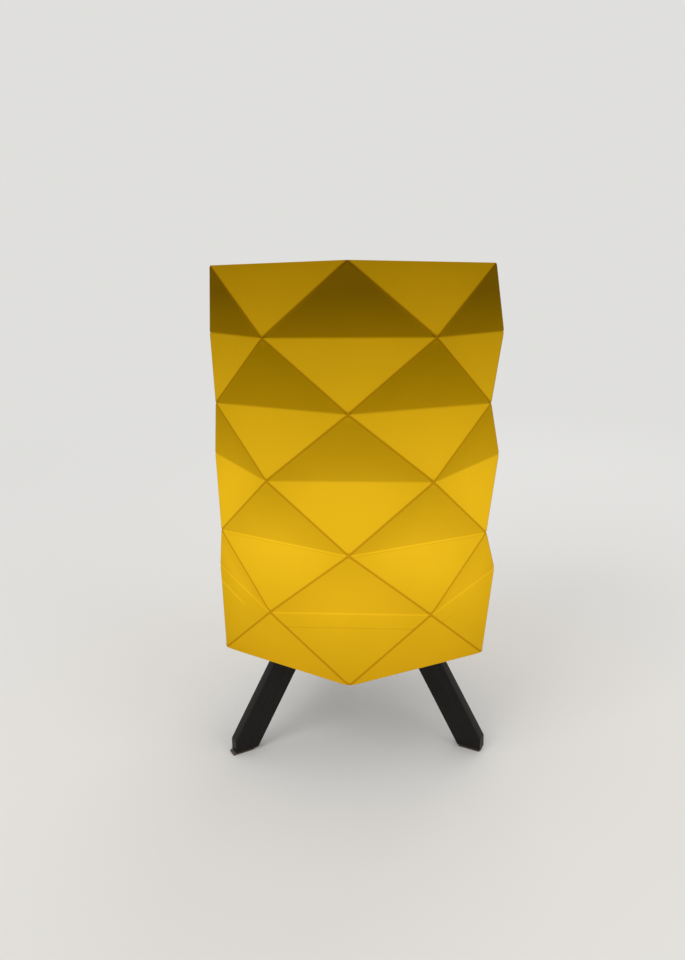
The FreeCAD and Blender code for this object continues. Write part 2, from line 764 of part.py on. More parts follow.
def make_centre_contact():
    """Bent brass strip: a foot on the recess floor, a ramp and a level top under the bulb's tip."""
    body = new_body("centre_contact")
    thick, reach = "contact_thickness", "contact_reach"
    top = f"({CONTACT_FOOT} + contact_rise)"
    strip = draw_outline(
        new_sketch(body, "tongue", "XZ_Plane"),
        [
            (f"(0 - {reach})", CONTACT_FOOT),
            (f"(0 - {reach} / 2 + {thick})", CONTACT_FOOT),
            (f"(0 - {reach} / 4 + {thick})", f"({top} - {thick})"),
            (f"({reach} / 2)", f"({top} - {thick})"),
            (f"({reach} / 2)", top),
            (f"(0 - {reach} / 4 - {thick})", top),
            (f"(0 - {reach} / 2 - {thick})", f"({CONTACT_FOOT} + {thick})"),
            (f"(0 - {reach})", f"({CONTACT_FOOT} + {thick})"),
        ],
    )
    add_pad(body, strip, "contact_width", symmetric=True)
    bind(body, "Placement.Base.z", PLATE_TOP)
    return body


def make_terminals():
    """Two brass blocks under the insert, each with a screw from outside."""
    near = "(terminal_radius - terminal_depth / 2)"
    far = "(terminal_radius + terminal_depth / 2)"
    foot = f"({INSERT_FOOT} - terminal_height)"
    middle = f"({INSERT_FOOT} - terminal_height / 2)"
    blocks = new_body("terminal_blocks")
    side = draw_outline(
        new_sketch(blocks, "block_side", "XZ_Plane"),
        [(near, foot), (far, foot), (far, INSERT_FOOT), (near, INSERT_FOOT)],
    )
    add_pattern(blocks, add_pad(blocks, side, "terminal_width", symmetric=True), "2")
    bore = new_sketch(blocks, "block_bore", "YZ_Plane")
    draw_circle(bore, "terminal_screw_radius + screw_gap", "0", middle)
    add_pocket(blocks, bore, "2 * holder_radius", symmetric=True)
    bind(blocks, "Placement.Base.z", PLATE_TOP)

    screws = new_body("terminal_screws")
    shank_end = f"({far} - terminal_screw_reach)"
    shank_side = f"({middle} + terminal_screw_radius)"
    head_end = f"({far} + terminal_head_height)"
    head_side = f"({middle} + terminal_head_radius)"
    half = draw_outline(
        new_sketch(screws, "terminal_screw_half", "XZ_Plane"),
        [
            (shank_end, middle),
            (head_end, middle),
            (head_end, head_side),
            (far, head_side),
            (far, shank_side),
            (shank_end, shank_side),
        ],
    )
    turned = screws.newObject("PartDesign::Revolution", "terminal_screw_turned")
    turned.Profile = half
    turned.ReferenceAxis = (half, ["Edge1"])
    turned.Angle = 360
    doc.recompute()
    add_pattern(screws, turned, "2")
    bind(screws, "Placement.Base.z", PLATE_TOP)
    return [blocks, screws]


# ---- The bulb ----

BULB_FOOT = f"({PLATE_TOP} + {TIP_HEIGHT})"


def make_bulb_cap():
    """Solder tip, glass cone and threaded cap; the thread is left as its outer cylinder."""
    tip = lathe(
        "bulb_tip",
        [
            ("0", "0"),
            ("(tip_radius / 2)", "0"),
            ("tip_radius", "(tip_height / 2)"),
            ("tip_radius", "tip_height"),
            ("0", "tip_height"),
        ],
        BULB_FOOT,
    )
    top = "(tip_height + insulator_height)"
    cone = lathe(
        "bulb_insulator",
        [
            ("0", "tip_height"),
            ("insulator_foot_radius", "tip_height"),
            ("insulator_radius", top),
            ("0", top),
        ],
        BULB_FOOT,
    )
    outer, wall = "bulb_cap_radius", "bulb_cap_wall"
    inside = f"({outer} - {wall})"
    lip = "(insulator_radius - 3 * bulb_cap_wall)"
    cap = lathe(
        "bulb_cap",
        [
            (lip, top),
            (inside, top),
            (outer, f"({top} + {wall})"),
            (outer, "bulb_cap_length"),
            (inside, "bulb_cap_length"),
            (inside, f"({top} + {wall})"),
            (lip, f"({top} + {wall})"),
        ],
        BULB_FOOT,
    )
    return [tip, cone, cap]


def make_bulb_body():
    """Plastic body: a spigot in the cap, then a flare up to the globe, hollow for the driver."""
    wall, neck, rim = "bulb_wall", "bulb_cap_length", "(bulb_cap_length + flare_height)"
    spigot = "(bulb_cap_radius - bulb_cap_wall - spigot_gap)"
    waist = "(bulb_cap_length + waist_rise)"
    seat = "globe_seat_radius"
    board_seat = f"({seat} - {wall} - led_board_gap)"
    ledge = f"({board_seat} - led_ledge)"
    shoulder = f"({BOARD_FOOT} - led_ledge)"
    return lathe(
        "bulb_body",
        [
            (f"({spigot} - {wall})", f"({neck} - bulb_spigot_depth)"),
            (spigot, f"({neck} - bulb_spigot_depth)"),
            (spigot, neck),
            ("neck_radius", neck),
            ("waist_radius", waist),
            (f"({seat} - {wall} / 2)", shoulder),
            (seat, rim),
            (board_seat, rim),
            (board_seat, BOARD_FOOT),
            (ledge, BOARD_FOOT),
            (f"({ledge} - {wall} / 2)", f"({shoulder} - {wall} / 2)"),
            (f"(waist_radius - {wall})", f"({waist} + {wall} / 2)"),
            (f"({spigot} - {wall})", f"({neck} + {wall})"),
        ],
        BULB_FOOT,
    )


def make_bulb_globe():
    """Opal globe: a hollow ball cut level where it meets the body's rim."""
    centre = f"({BULB_FOOT} + bulb_cap_length + flare_height + {GLOBE_RISE})"
    rim = f"({BULB_FOOT} + bulb_cap_length + flare_height)"
    balls = []
    for name, radius in (("outer", "globe_radius"), ("inner", "(globe_radius - globe_wall)")):
        ball = doc.addObject("Part::Sphere", f"globe_{name}_ball")
        bind(ball, "Radius", radius)
        bind(ball, "Placement.Base.z", centre)
        balls.append(ball)
    hollow = doc.addObject("Part::Cut", "globe_hollow")
    hollow.Base, hollow.Tool = balls
    below = doc.addObject("Part::Cylinder", "globe_below_rim")
    bind(below, "Radius", "2 * globe_radius")
    bind(below, "Height", "2 * globe_radius")
    bind(below, "Placement.Base.z", f"{rim} - 2 * globe_radius")
    globe = doc.addObject("Part::Cut", "bulb_globe")
    globe.Label = "bulb_globe"
    globe.Base, globe.Tool = hollow, below
    doc.recompute()
    return globe


def make_led_parts():
    """The board on the body's ledge, and the diodes around it."""
    edge = "(globe_seat_radius - bulb_wall - 2 * led_board_gap)"
    board = lathe(
        "led_board",
        [
            ("0", BOARD_FOOT),
            (edge, BOARD_FOOT),
            (edge, f"({BOARD_FOOT} + led_board_thickness)"),
            ("0", f"({BOARD_FOOT} + led_board_thickness)"),
        ],
        BULB_FOOT,
    )
    chips = new_body("led_chips")
    half = "(led_side / 2)"
    chip = draw_outline(
        new_sketch(chips, "diode", "XY_Plane"),
        [
            (f"(led_radius - {half})", f"(0 - {half})"),
            (f"(led_radius + {half})", f"(0 - {half})"),
            (f"(led_radius + {half})", half),
            (f"(led_radius - {half})", half),
        ],
    )
    add_pattern(chips, add_pad(chips, chip, "led_height"), "led_count")
    bind(chips, "Placement.Base.z", f"{BULB_FOOT} + {BOARD_FOOT} + led_board_thickness")
    doc.recompute()
    return [board, chips]


def make_block(name, corner, extent):
    """A box by its lowest corner and its extent, all expressions."""
    block = doc.addObject("Part::Box", name)
    for side, expression in zip(("Length", "Width", "Height"), extent):
        bind(block, side, expression)
    for axis, expression in zip("xyz", corner):
        bind(block, f"Placement.Base.{axis}", expression)
    return block


def make_driver():
    """Driver board upright under the diode board, with its three largest components."""
    foot = f"({BULB_FOOT} + {BOARD_FOOT} - driver_height)"
    board = make_block(
        "driver_board",
        ("(0 - driver_thickness / 2)", "(0 - driver_width / 2)", foot),
        ("driver_thickness", "driver_width", "driver_height"),
    )
    board.Label = "driver_board"
    capacitor = doc.addObject("Part::Cylinder", "capacitor")
    bind(capacitor, "Radius", "capacitor_radius")
    bind(capacitor, "Height", "capacitor_height")
    bind(capacitor, "Placement.Base.x", "driver_thickness / 2 + capacitor_radius")
    lift = f"({foot} + (driver_height - capacitor_height) / 2)"
    bind(capacitor, "Placement.Base.z", lift)
    coil = make_block(
        "coil",
        ("(0 - driver_thickness / 2 - coil_side)", "(0 - coil_side / 2)", lift),
        ("coil_side", "coil_side", "coil_height"),
    )
    chip = make_block(
        "control_chip",
        (
            "(0 - driver_thickness / 2 - chip_thickness)",
            "(0 - chip_width / 2)",
            f"({lift} + coil_height + chip_thickness)",
        ),
        ("chip_thickness", "chip_width", "chip_height"),
    )
    return [board, group("driver_parts", [capacitor, coil, chip])]


legs = [make_leg("leg_" + name, index) for index, name in enumerate(LEGS)]
pads = [make_foot_pad("pad_" + name, index) for index, name in enumerate(LEGS)]
nodes = [
    make_shade_sheet(),
    make_stiffener_ring(),
    make_base_plate(),
    make_leg_hub(),
    *legs,
    *pads,
    make_plate_screws(),
    *make_nipple_set(),
    *make_holder_shells(),
    *make_holder_core(),
    *make_bulb_cap(),
    make_bulb_body(),
    make_bulb_globe(),
    *make_led_parts(),
    *make_driver(),
]
doc.recompute()

for item in doc.Objects:
    if "Invalid" in item.State or "Error" in item.State:
        raise RuntimeError(f"{item.Label} failed: {item.State}")
for node in nodes:
    if node.Shape.isNull() or not node.Shape.isValid():
        raise RuntimeError(f"{node.Label} has no valid shape")

os.makedirs("parts", exist_ok=True)
for node in nodes:
    node.Shape.exportStep(f"parts/{node.Label}.step")
    box = node.Shape.BoundBox
    print(
        f"{node.Label:16s} solids {len(node.Shape.Solids)}  volume {node.Shape.Volume / 1000:8.3f} cm3"
        f"  x {box.XMin:7.2f} {box.XMax:7.2f}  y {box.YMin:7.2f} {box.YMax:7.2f}"
        f"  z {box.ZMin:7.2f} {box.ZMax:7.2f}"
    )
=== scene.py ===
# %% [markdown]
# # A folded lamp on a tripod
#
# The lamp is one yellow translucent sheet, creased into triangles and closed to a six-sided tube. It stands
# on a thin steel plate, and the plate on a wooden hub with three splayed legs. Inside, a small screw-in
# bulb stands in a black lampholder.
#
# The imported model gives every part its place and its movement. This script gives the parts their looks:
# pieces whose form matters are built again as finer surfaces, and the others get a worked-out finish.

import math

import bmesh
import bpy
import numpy as np
from mathutils import Matrix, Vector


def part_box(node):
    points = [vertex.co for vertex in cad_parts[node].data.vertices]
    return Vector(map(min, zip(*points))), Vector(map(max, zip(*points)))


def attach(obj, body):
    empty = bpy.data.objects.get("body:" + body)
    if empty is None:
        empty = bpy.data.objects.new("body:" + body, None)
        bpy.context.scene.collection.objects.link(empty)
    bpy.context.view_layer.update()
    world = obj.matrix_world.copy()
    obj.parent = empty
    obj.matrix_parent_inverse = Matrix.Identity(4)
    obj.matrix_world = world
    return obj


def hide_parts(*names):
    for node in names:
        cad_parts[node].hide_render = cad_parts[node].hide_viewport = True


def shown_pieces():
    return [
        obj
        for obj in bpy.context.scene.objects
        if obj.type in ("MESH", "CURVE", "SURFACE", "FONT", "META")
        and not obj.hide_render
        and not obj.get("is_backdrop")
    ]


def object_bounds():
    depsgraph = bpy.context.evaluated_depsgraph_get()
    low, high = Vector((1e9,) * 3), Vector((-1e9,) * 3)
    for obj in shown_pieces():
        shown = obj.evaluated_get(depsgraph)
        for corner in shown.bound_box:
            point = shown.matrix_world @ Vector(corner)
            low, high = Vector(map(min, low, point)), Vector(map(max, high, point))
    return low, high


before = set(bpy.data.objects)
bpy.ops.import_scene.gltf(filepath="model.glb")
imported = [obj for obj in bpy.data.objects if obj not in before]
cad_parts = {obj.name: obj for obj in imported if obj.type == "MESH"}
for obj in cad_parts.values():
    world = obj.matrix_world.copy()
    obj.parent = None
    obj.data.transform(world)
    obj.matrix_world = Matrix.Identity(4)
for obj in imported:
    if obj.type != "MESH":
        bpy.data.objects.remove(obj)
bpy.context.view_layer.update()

# %% [markdown]
# ## Helpers for surfaces
#
# Every new piece is a surface worked out as one array of points: rows along a profile, columns around it.
# A single function turns such a grid into faces, and another makes the mesh, joins the points that
# coincide at seams and poles, and hangs the piece on its body. All sizes are in millimetres up to there.

# %% Points to meshes
MM = 0.001
WELD_WITHIN = 0.002 * MM


def new_object(name, data):
    """Puts a mesh, lamp or camera into the scene."""
    thing = bpy.data.objects.new(name, data)
    bpy.context.scene.collection.objects.link(thing)
    return thing


def grid_faces(rows, columns, close_rows=False, close_columns=False):
    """Four-sided faces between neighbouring points of a grid that is stored row by row."""
    row = np.arange(rows if close_rows else rows - 1)[:, None]
    column = np.arange(columns if close_columns else columns - 1)[None, :]
    above, beside = (row + 1) % rows, (column + 1) % columns
    corners = [(row, column), (row, beside), (above, beside), (above, column)]
    return np.stack([r * columns + c for r, c in corners], axis=-1).reshape(-1, 4)


def heights(node):
    """The heights, in mm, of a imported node's lowest and highest point."""
    return [corner.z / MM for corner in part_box(node)]


def make_piece(name, points, faces, body, stands_for=(), values=None):
    """A smooth mesh from points in mm and faces; values are named numbers, one for each point.

    The numbers are kept on the corners of the faces, so that they may jump where two panels meet.
    """
    mesh = bpy.data.meshes.new(name)
    mesh.from_pydata((np.asarray(points) * MM).tolist(), [], np.asarray(faces).tolist())
    point_of_corner = np.empty(len(mesh.loops), dtype=np.int32)
    mesh.loops.foreach_get("vertex_index", point_of_corner)
    for label, numbers in (values or {}).items():
        numbers = np.asarray(numbers, dtype=np.float32)[point_of_corner]
        kind, field = ("FLOAT", "value") if numbers.ndim == 1 else ("FLOAT_VECTOR", "vector")
        layer = mesh.attributes.new(label, kind, "CORNER")
        layer.data.foreach_set(field, numbers.ravel())
    weld(mesh)
    mesh.shade_smooth()
    piece = new_object(name, mesh)
    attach(piece, body)
    if stands_for:
        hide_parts(*stands_for)
    return piece


def weld(mesh):
    """Joins points that coincide, which closes seams and poles."""
    work = bmesh.new()
    work.from_mesh(mesh)
    bmesh.ops.remove_doubles(work, verts=work.verts, dist=WELD_WITHIN)
    work.to_mesh(mesh)
    work.free()
    mesh.validate()


# %% [markdown]
# ## Turned pieces
#
# Bulb and holder are turned shapes. A profile is a list of corners (radius, height), and
# each corner is rounded by a short quadratic curve. The profile is then carried round the axis. A second
# function may push every point in or out, which makes flutes and threads.


# %% Rounded profiles and lathes
def rounded(corners, radii, steps=4):
    """Replaces each corner by a quadratic curve (1-t)^2 A + 2t(1-t) P + t^2 B, A and B a radius away."""
    corners = np.asarray(corners, dtype=float)
    radii = np.broadcast_to(np.asarray(radii, dtype=float), len(corners))[:, None]
    before, after = np.roll(corners, 1, axis=0) - corners, np.roll(corners, -1, axis=0) - corners
    far_before, far_after = (np.linalg.norm(v, axis=1, keepdims=True) for v in (before, after))
    start = corners + before * np.minimum(radii / far_before, 0.45)
    end = corners + after * np.minimum(radii / far_after, 0.45)
    t = np.linspace(0, 1, steps + 1)[None, :, None]
    curve = (1 - t) ** 2 * start[:, None] + 2 * t * (1 - t) * corners[:, None] + t**2 * end[:, None]
    return curve.reshape(-1, 2)


def finer(profile, step):
    """The same closed profile with no gap between neighbouring points longer than step."""
    parts = []
    for a, b in zip(profile, np.roll(profile, -1, axis=0)):
        count = max(1, math.ceil(np.linalg.norm(b - a) / step))
        parts.append(a + (b - a) * np.linspace(0, 1, count, endpoint=False)[:, None])
    return np.concatenate(parts)


def lathe_profile(base, corners, step, steps=4):
    """A profile from corners (radius, height above base, rounding), with no gap longer than step."""
    radius, height, rounding = np.array(corners).T
    return finer(rounded(np.stack([radius, base + height], axis=-1), rounding, steps), step)


def turned(name, profile, body, stands_for, columns=96, closed=True, shape=None):
    """Carries a (radius, height) profile round the axis; shape(radius, angle, height) may move it."""
    angle = np.linspace(0, 2 * math.pi, columns, endpoint=False)[None, :]
    radius, height = profile[:, :1] + 0 * angle, profile[:, 1:] + 0 * angle
    if shape:
        radius = shape(radius, angle, height)
    points = np.stack([radius * np.cos(angle), radius * np.sin(angle), height], axis=-1)
    faces = grid_faces(len(profile), columns, close_rows=closed, close_columns=True)
    piece = make_piece(name, points.reshape(-1, 3), faces, body, stands_for)
    print(name, "faces", len(piece.data.polygons))
    return piece


def ease(value):
    """Goes smoothly from 0 to 1 while value does: 3v^2 - 2v^3."""
    value = np.clip(value, 0, 1)
    return value * value * (3 - 2 * value)


# %% [markdown]
# ## The folded sheet
#
# Every corner of the fold lies on one cylinder. Rows of corners are a band's height apart, and every other
# row is turned by half a step, so each band is a belt of triangles that point up and down in turn. The
# slanted creases are ridges and the level ones are valleys.
#
# Each triangle could be one flat face, but paper never folds to a knife edge. So each triangle is a fan
# of three fine grids from its edges to its middle. Close to a crease the surface leaves the flat triangle
# along a parabola, close to a corner it is pushed in a little, and the panel itself is slightly bowed.

# %% The fold's corners and panels
sheet_low, sheet_high = (np.array(corner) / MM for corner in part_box("shade_sheet"))
SIDES, BANDS = 6, 6
RADIUS, RIM = sheet_high[0], sheet_low[2]
BAND = (sheet_high[2] - RIM) / BANDS
SHEET = 0.5
PANEL_BASE, PANEL_HEIGHT = RADIUS, 44.0
INNER_SHARE = 1 - SHEET * PANEL_HEIGHT / BAND / RADIUS


def fold_corner(row, column):
    """A corner of the fold: radius R, turned by (column + half of an odd row) sixths of a turn."""
    turn = 2 * math.pi * (column + 0.5 * (row % 2)) / SIDES
    return np.stack([RADIUS * np.sin(turn), -RADIUS * np.cos(turn), RIM + row * BAND], axis=-1)


row, column = (grid.ravel() for grid in np.meshgrid(np.arange(BANDS), np.arange(SIDES), indexing="ij"))
lead = row % 2
low, low_next = fold_corner(row, column), fold_corner(row, column + 1)
high, high_before = fold_corner(row + 1, column + lead), fold_corner(row + 1, column + lead - 1)
# A panel is its level edge, from a to b, and its point c; first the panels that point up, then the others.
panels = np.concatenate([np.stack([low, low_next, high], 1), np.stack([high, high_before, low], 1)])
points_down = np.repeat([0.0, 1.0], BANDS * SIDES)
panel_band = np.tile(row, 2)
# Panels whose level edge is one of the sheet's two cut edges.
at_cut_edge = ((panel_band == 0) & (points_down == 0)) | ((panel_band == BANDS - 1) & (points_down == 1))
print("panels", len(panels), "band height", round(BAND, 2), "mm")

# %% [markdown]
# The parabola of a crease of half-angle h and half-width w moves a point at a distance q by
# sin(h) (w - q)^2 / 2w. By the fold's symmetry it always moves along the crease's own level radius: inwards
# on a ridge and outwards in a valley. Near the corners the creases fade out, and the corner's own dent,
# slope (w - d)^2 / 2w for a distance d, takes over. At the rim the corner is also raised a little.
#
# The bow of a panel is 27 times the product of its point's shares of the three heights, so it is nothing
# at the edges and 1 in the middle.

# %% One skin of the sheet
RIDGE_WIDTH, VALLEY_WIDTH, CREASE_FADE = 1.3, 0.8, 3.0
DENT_WIDTH, DENT_SLOPE = 5.0, 0.26
RIM_DENT_SHARE, RIM_DENT_RISE = 0.4, 0.9
BOW = 0.3
draw = np.random.default_rng(7)
bow = draw.uniform(-0.35, 1.0, len(panels)) * BOW


def unit(vectors):
    """The same directions with length 1."""
    return vectors / np.linalg.norm(vectors, axis=-1, keepdims=True)


def level(vectors):
    """The same directions laid level."""
    return unit(vectors * [1, 1, 0])


def per_panel(values):
    """One value or vector for each panel, ready to meet the panels' grids of points."""
    return values[:, None, None, None]


def panel_grid():
    """Points (panel, edge, step to the middle, step along the edge): (1-t)((1-s)A + sB) + t M."""
    along = 0.5 - 0.5 * np.cos(np.linspace(0, math.pi, 19))
    across = np.array([0, 0.3, 0.65, 1.0, 1.4, 2.4, 5.0, 9.5, 15.0, 22.0]) / 22
    s, t = along[None, None, None, :, None], across[None, None, :, None, None]
    start, end = panels[:, :, None, None], np.roll(panels, -1, axis=1)[:, :, None, None]
    middle = per_panel(panels.mean(axis=1))
    return (1 - t) * ((1 - s) * start + s * end) + t * middle


def outer_skin():
    """The outer skin's points, and for each its distances from the panel's edges and corners."""
    flat = panel_grid()
    face = unit(np.cross(panels[:, 1] - panels[:, 0], panels[:, 2] - panels[:, 0]))
    moved, edge_far, share = flat.copy(), [], 1.0
    for edge in range(3):
        start, end = panels[:, edge], panels[:, (edge + 1) % 3]
        inwards = np.cross(face, unit(end - start))
        q = ((flat - per_panel(start)) * per_panel(inwards)).sum(-1)
        edge_far.append(q)
        top = ((panels[:, (edge + 2) % 3] - start) * inwards).sum(-1)
        share = share * q / per_panel(top)
    corner_far = np.stack(
        [np.linalg.norm(flat - per_panel(panels[:, corner]), axis=-1) for corner in range(3)]
    )
    slope_of_base = PANEL_HEIGHT / math.hypot(PANEL_HEIGHT, PANEL_BASE / 2)
    clear = RIDGE_WIDTH / slope_of_base
    fade = ease((corner_far.min(axis=0) - clear) / CREASE_FADE)
    for edge, width in enumerate((VALLEY_WIDTH, RIDGE_WIDTH, RIDGE_WIDTH)):
        radial = level(panels[:, edge] + panels[:, (edge + 1) % 3])
        half_angle = per_panel(np.arccos(np.clip((radial * face).sum(-1), -1, 1)))
        push = np.sin(half_angle) * np.clip(width - edge_far[edge], 0, None) ** 2 / (2 * width) * fade
        if edge == 0:
            push = np.where(per_panel(at_cut_edge), 0, -push)
        moved -= push[..., None] * per_panel(radial)
    for corner in range(3):
        at = panels[:, corner]
        dent = DENT_SLOPE * np.clip(DENT_WIDTH - corner_far[corner], 0, None) ** 2 / (2 * DENT_WIDTH)
        on_rim = per_panel((np.abs(at[:, 2] - RIM) < 1).astype(float))
        moved -= (dent * (1 - (1 - RIM_DENT_SHARE) * on_rim))[..., None] * per_panel(level(at))
        moved[..., 2] += dent * on_rim * RIM_DENT_RISE
    moved += (27 * share * per_panel(bow))[..., None] * per_panel(face)
    return moved, edge_far, corner_far


skin, edge_far, corner_far = outer_skin()
largest = np.hypot(skin[..., 0], skin[..., 1]).max()
print("points of the outer skin", skin[..., 0].size, "largest radius", round(largest, 2))

# %% [markdown]
# The inner skin is the outer one drawn in by the same share everywhere. Because all panels are equally far
# from the axis, this makes a wall of even thickness. Short faces close the sheet's two cut edges.
#
# The finish needs to know where a point lies on its panel. Some numbers go with every corner of a face:
# the distances from the nearest ridge, the valley and the nearest corner of the fold, the row of that
# valley, whether the panel hangs from it or stands on it, how strongly the glued flange's edge shows
# through there as a bright or dark line of painted light and shade, and how far inside the glued lap the
# point lies.
#
# The sheet is closed to a tube by a lap that follows the ridges up the back, where one edge is glued under
# the other. It shows only as a darker strip, painted shade where the doubled sheet lets less lamplight
# through.

# %% The sheet as a closed shell
count, edges, deep, wide = skin.shape[:4]
patch = grid_faces(deep, wide)
offsets = (np.arange(count * edges) * deep * wide)[:, None, None]
outer_faces = (patch[None] + offsets).reshape(-1, 4)
inner_faces = outer_faces[:, ::-1] + skin[..., 0].size
lip = np.arange(wide - 1)
lip_points = np.stack([lip, lip + 1], axis=-1)
lip_patches = np.flatnonzero(at_cut_edge) * edges
lip_outer = (lip_patches * deep * wide)[:, None, None] + lip_points[None]
lip_inner = lip_outer + skin[..., 0].size
lips = np.concatenate([lip_outer[..., ::-1], lip_inner], axis=-1).reshape(-1, 4)

outer_points = skin.reshape(-1, 3)
shell_points = np.concatenate([outer_points, outer_points * [INNER_SHARE, INNER_SHARE, 1]])
fold_row = panel_band + points_down
valley_far, ridge_far = edge_far[0], np.minimum(edge_far[1], edge_far[2])


def spread(numbers):
    """One number for a panel, given to all its points."""
    return np.broadcast_to(per_panel(np.asarray(numbers, dtype=float)), ridge_far.shape)


centre_turn = np.degrees(np.arctan2(panels.mean(axis=1)[:, 0], -panels.mean(axis=1)[:, 1])).round()
# Painted light and shade: the glued flange's lower edge shows through the lit sheet as a line, bright on one
# face and dark on the others.
flanged = (panel_band == 0) & (points_down == 1)
flange = np.where(flanged, draw.uniform(-0.5, 0.5, len(panels)), 0)
FAR_OFF, FLANGE_FADE = 99.0, 8.0
flange_end = np.full(len(panels), FAR_OFF)
# The three faces that the photograph shows: direction, strength, and where along the edge the line ends.
for turn, strength, end in ((0, -0.75, FAR_OFF), (-60, 1.8, 12), (60, -0.6, -12)):
    flange[flanged & (centre_turn == turn)] = strength
    flange_end[flanged & (centre_turn == turn)] = end
rightwards = per_panel(unit(panels[:, 0] - panels[:, 1]))
along_edge = ((skin - per_panel(panels[:, :2].mean(axis=1))) * rightwards).sum(-1)


def lap_distance():
    """Distance from the seam's ridges up the back, on the panels to one side; far off elsewhere."""
    far = np.full(ridge_far.shape, FAR_OFF)
    for band in range(BANDS):
        foot, head = fold_corner(band, 3 - band % 2), fold_corner(band + 1, 3 - (band + 1) % 2)
        for number in np.flatnonzero((panel_band == band) & (points_down == band % 2)):
            for edge in (1, 2):
                ends = panels[number, edge], panels[number, (edge + 1) % 3]
                if all(min(np.linalg.norm(end - e) for e in ends) < 1 for end in (foot, head)):
                    far[number] = edge_far[edge][number]
    return far


sheet_values = {
    "ridge": ridge_far,
    "valley": valley_far,
    "corner": corner_far.min(axis=0),
    "lap": lap_distance(),
    "fold_row": spread(fold_row),
    "points_down": spread(points_down),
    "flange": spread(flange) * ease((spread(flange_end) - along_edge) / FLANGE_FADE),
    "tone": spread(draw.uniform(-1, 1, len(panels))),
}
sheet_values = {key: np.tile(value.ravel(), 2) for key, value in sheet_values.items()}
folded_sheet = make_piece(
    "folded_sheet",
    shell_points,
    np.concatenate([outer_faces, inner_faces, lips]),
    "shade",
    ["shade_sheet"],
    sheet_values,
)
print("folded_sheet faces", len(folded_sheet.data.polygons))

# %% [markdown]
# ## The legs
#
# A leg is a flat bar of 19 by 8 mm. Its section is a rectangle with rounded corners, carried straight
# down from the level cut under the plate. At the toe every line of the bar ends where it first meets the
# upright cut or the level sole, and the edges of that cut are slightly rounded over.

# %% One leg as a bar with a shaped toe
SPLAY = math.radians(31.2)
BAR_WIDTH, BAR_THICK, BAR_ROUND, CUT_ROUND = 19.0, 8.0, 0.8, 0.45
TOE_RADIUS, TOE_TOP, SOLE = 100.0, 10.2, 1.5
TOE_EDGE = (TOE_TOP - SOLE) * math.sin(SPLAY)
LEG_TOP = heights("leg_back")[1]
LEG_TURNS = {"back": 93.9, "front_left": 213.9, "front_right": 333.9}
GRAIN_SHIFTS = {"back": 0.0, "front_left": 310.0, "front_right": 620.0}


def bar_section(inset):
    """The bar's rounded section, drawn in by inset: (across, thick), anticlockwise."""
    r = BAR_ROUND - inset
    half = BAR_THICK / 2
    quarter = np.linspace(0, math.pi / 2, 5)
    sides = np.array([1.2, TOE_EDGE, 7.5, 10.5, 13.5, 16.5])
    rows = []
    centres = ((BAR_WIDTH, 1, 0), (BAR_WIDTH, 1, 1), (0, -1, 2), (0, -1, 3))
    for number, (edge, sign, turn) in enumerate(centres):
        up = -1 if number in (0, 3) else 1
        angle = quarter + turn * math.pi / 2 - math.pi / 2
        across = edge - sign * BAR_ROUND + r * np.cos(angle)
        thick = up * (half - BAR_ROUND) + r * np.sin(angle)
        rows.append(np.stack([across, thick], axis=-1))
        if number in (1, 3):
            order = sides[::-1] if number == 1 else sides
            rows.append(np.stack([order, 0 * order + up * (half - inset)], axis=-1))
    return np.concatenate(rows)


def bar_end(across):
    """Distance along the bar, from the toe's top, at which a line of it meets one of the two cuts."""
    level_cut = (TOE_TOP - SOLE - across * math.sin(SPLAY)) / math.cos(SPLAY)
    upright_cut = across * math.cos(SPLAY) / math.sin(SPLAY)
    return np.minimum(level_cut, upright_cut)


def bar_start(across):
    """The same for the level cut under the plate."""
    return (TOE_TOP - LEG_TOP - across * math.sin(SPLAY)) / math.cos(SPLAY)


def bar_rows():
    """Rows of points (along, across, thick) from the middle of the head to the middle of the toe."""
    arc = np.linspace(0, math.pi / 2, 4)
    rows = []
    for find_end, sign, kink in ((bar_start, 1, BAR_WIDTH / 2), (bar_end, -1, TOE_EDGE)):
        cap = []
        for share in (0.0, 0.35, 0.7):
            section = bar_section(CUT_ROUND)
            section = [kink, 0] + (section - [kink, 0]) * share
            cap.append((section, find_end(section[:, 0])))
        for angle in arc[::-1]:
            section = bar_section(CUT_ROUND * (1 - math.cos(angle)))
            lift = CUT_ROUND * (1 - math.sin(angle))
            cap.append((section, find_end(section[:, 0]) + sign * lift))
        rows.append([np.concatenate([along[:, None], section], axis=1) for section, along in cap])
    head, toe = rows
    first, last = head[-1], toe[-1]
    shares = np.linspace(0, 1, 16)[1:-1, None, None]
    shank = list(first[None] + (last - first)[None] * shares)
    return np.stack(head + shank + toe[::-1])


bar = bar_rows()
along, across, thick = bar[..., 0], bar[..., 1], bar[..., 2]
bar_radius = TOE_RADIUS - across * math.cos(SPLAY) + along * math.sin(SPLAY)
bar_height = TOE_TOP - across * math.sin(SPLAY) - along * math.cos(SPLAY)
for place, degrees in LEG_TURNS.items():
    turn = math.radians(degrees)
    x = bar_radius * math.cos(turn) - thick * math.sin(turn)
    y = bar_radius * math.sin(turn) + thick * math.cos(turn)
    leg_points = np.stack([x, y, bar_height], axis=-1).reshape(-1, 3)
    faces = grid_faces(*bar.shape[:2], close_columns=True)
    grain = (bar + [GRAIN_SHIFTS[place], 0, 0]).reshape(-1, 3)
    leg = make_piece(
        f"leg_{place}_bar", leg_points, faces, "lamp_base", [f"leg_{place}"], {"grain": grain}
    )
    print(leg.name, "faces", len(leg.data.polygons))

# %% [markdown]
# The pads under the toes are cut from thin felt. Their sides bulge a little under the lamp's weight and
# are never quite even, which a few seeded waves of a tenth of a millimetre show. The front left pad is
# set 2.6 mm further out, so it reaches past the end of its toe.


# %% Felt pads
PAD_INSET, PAD_OUTSET, PAD_ROUND = 0.4, 2.6, 1.0


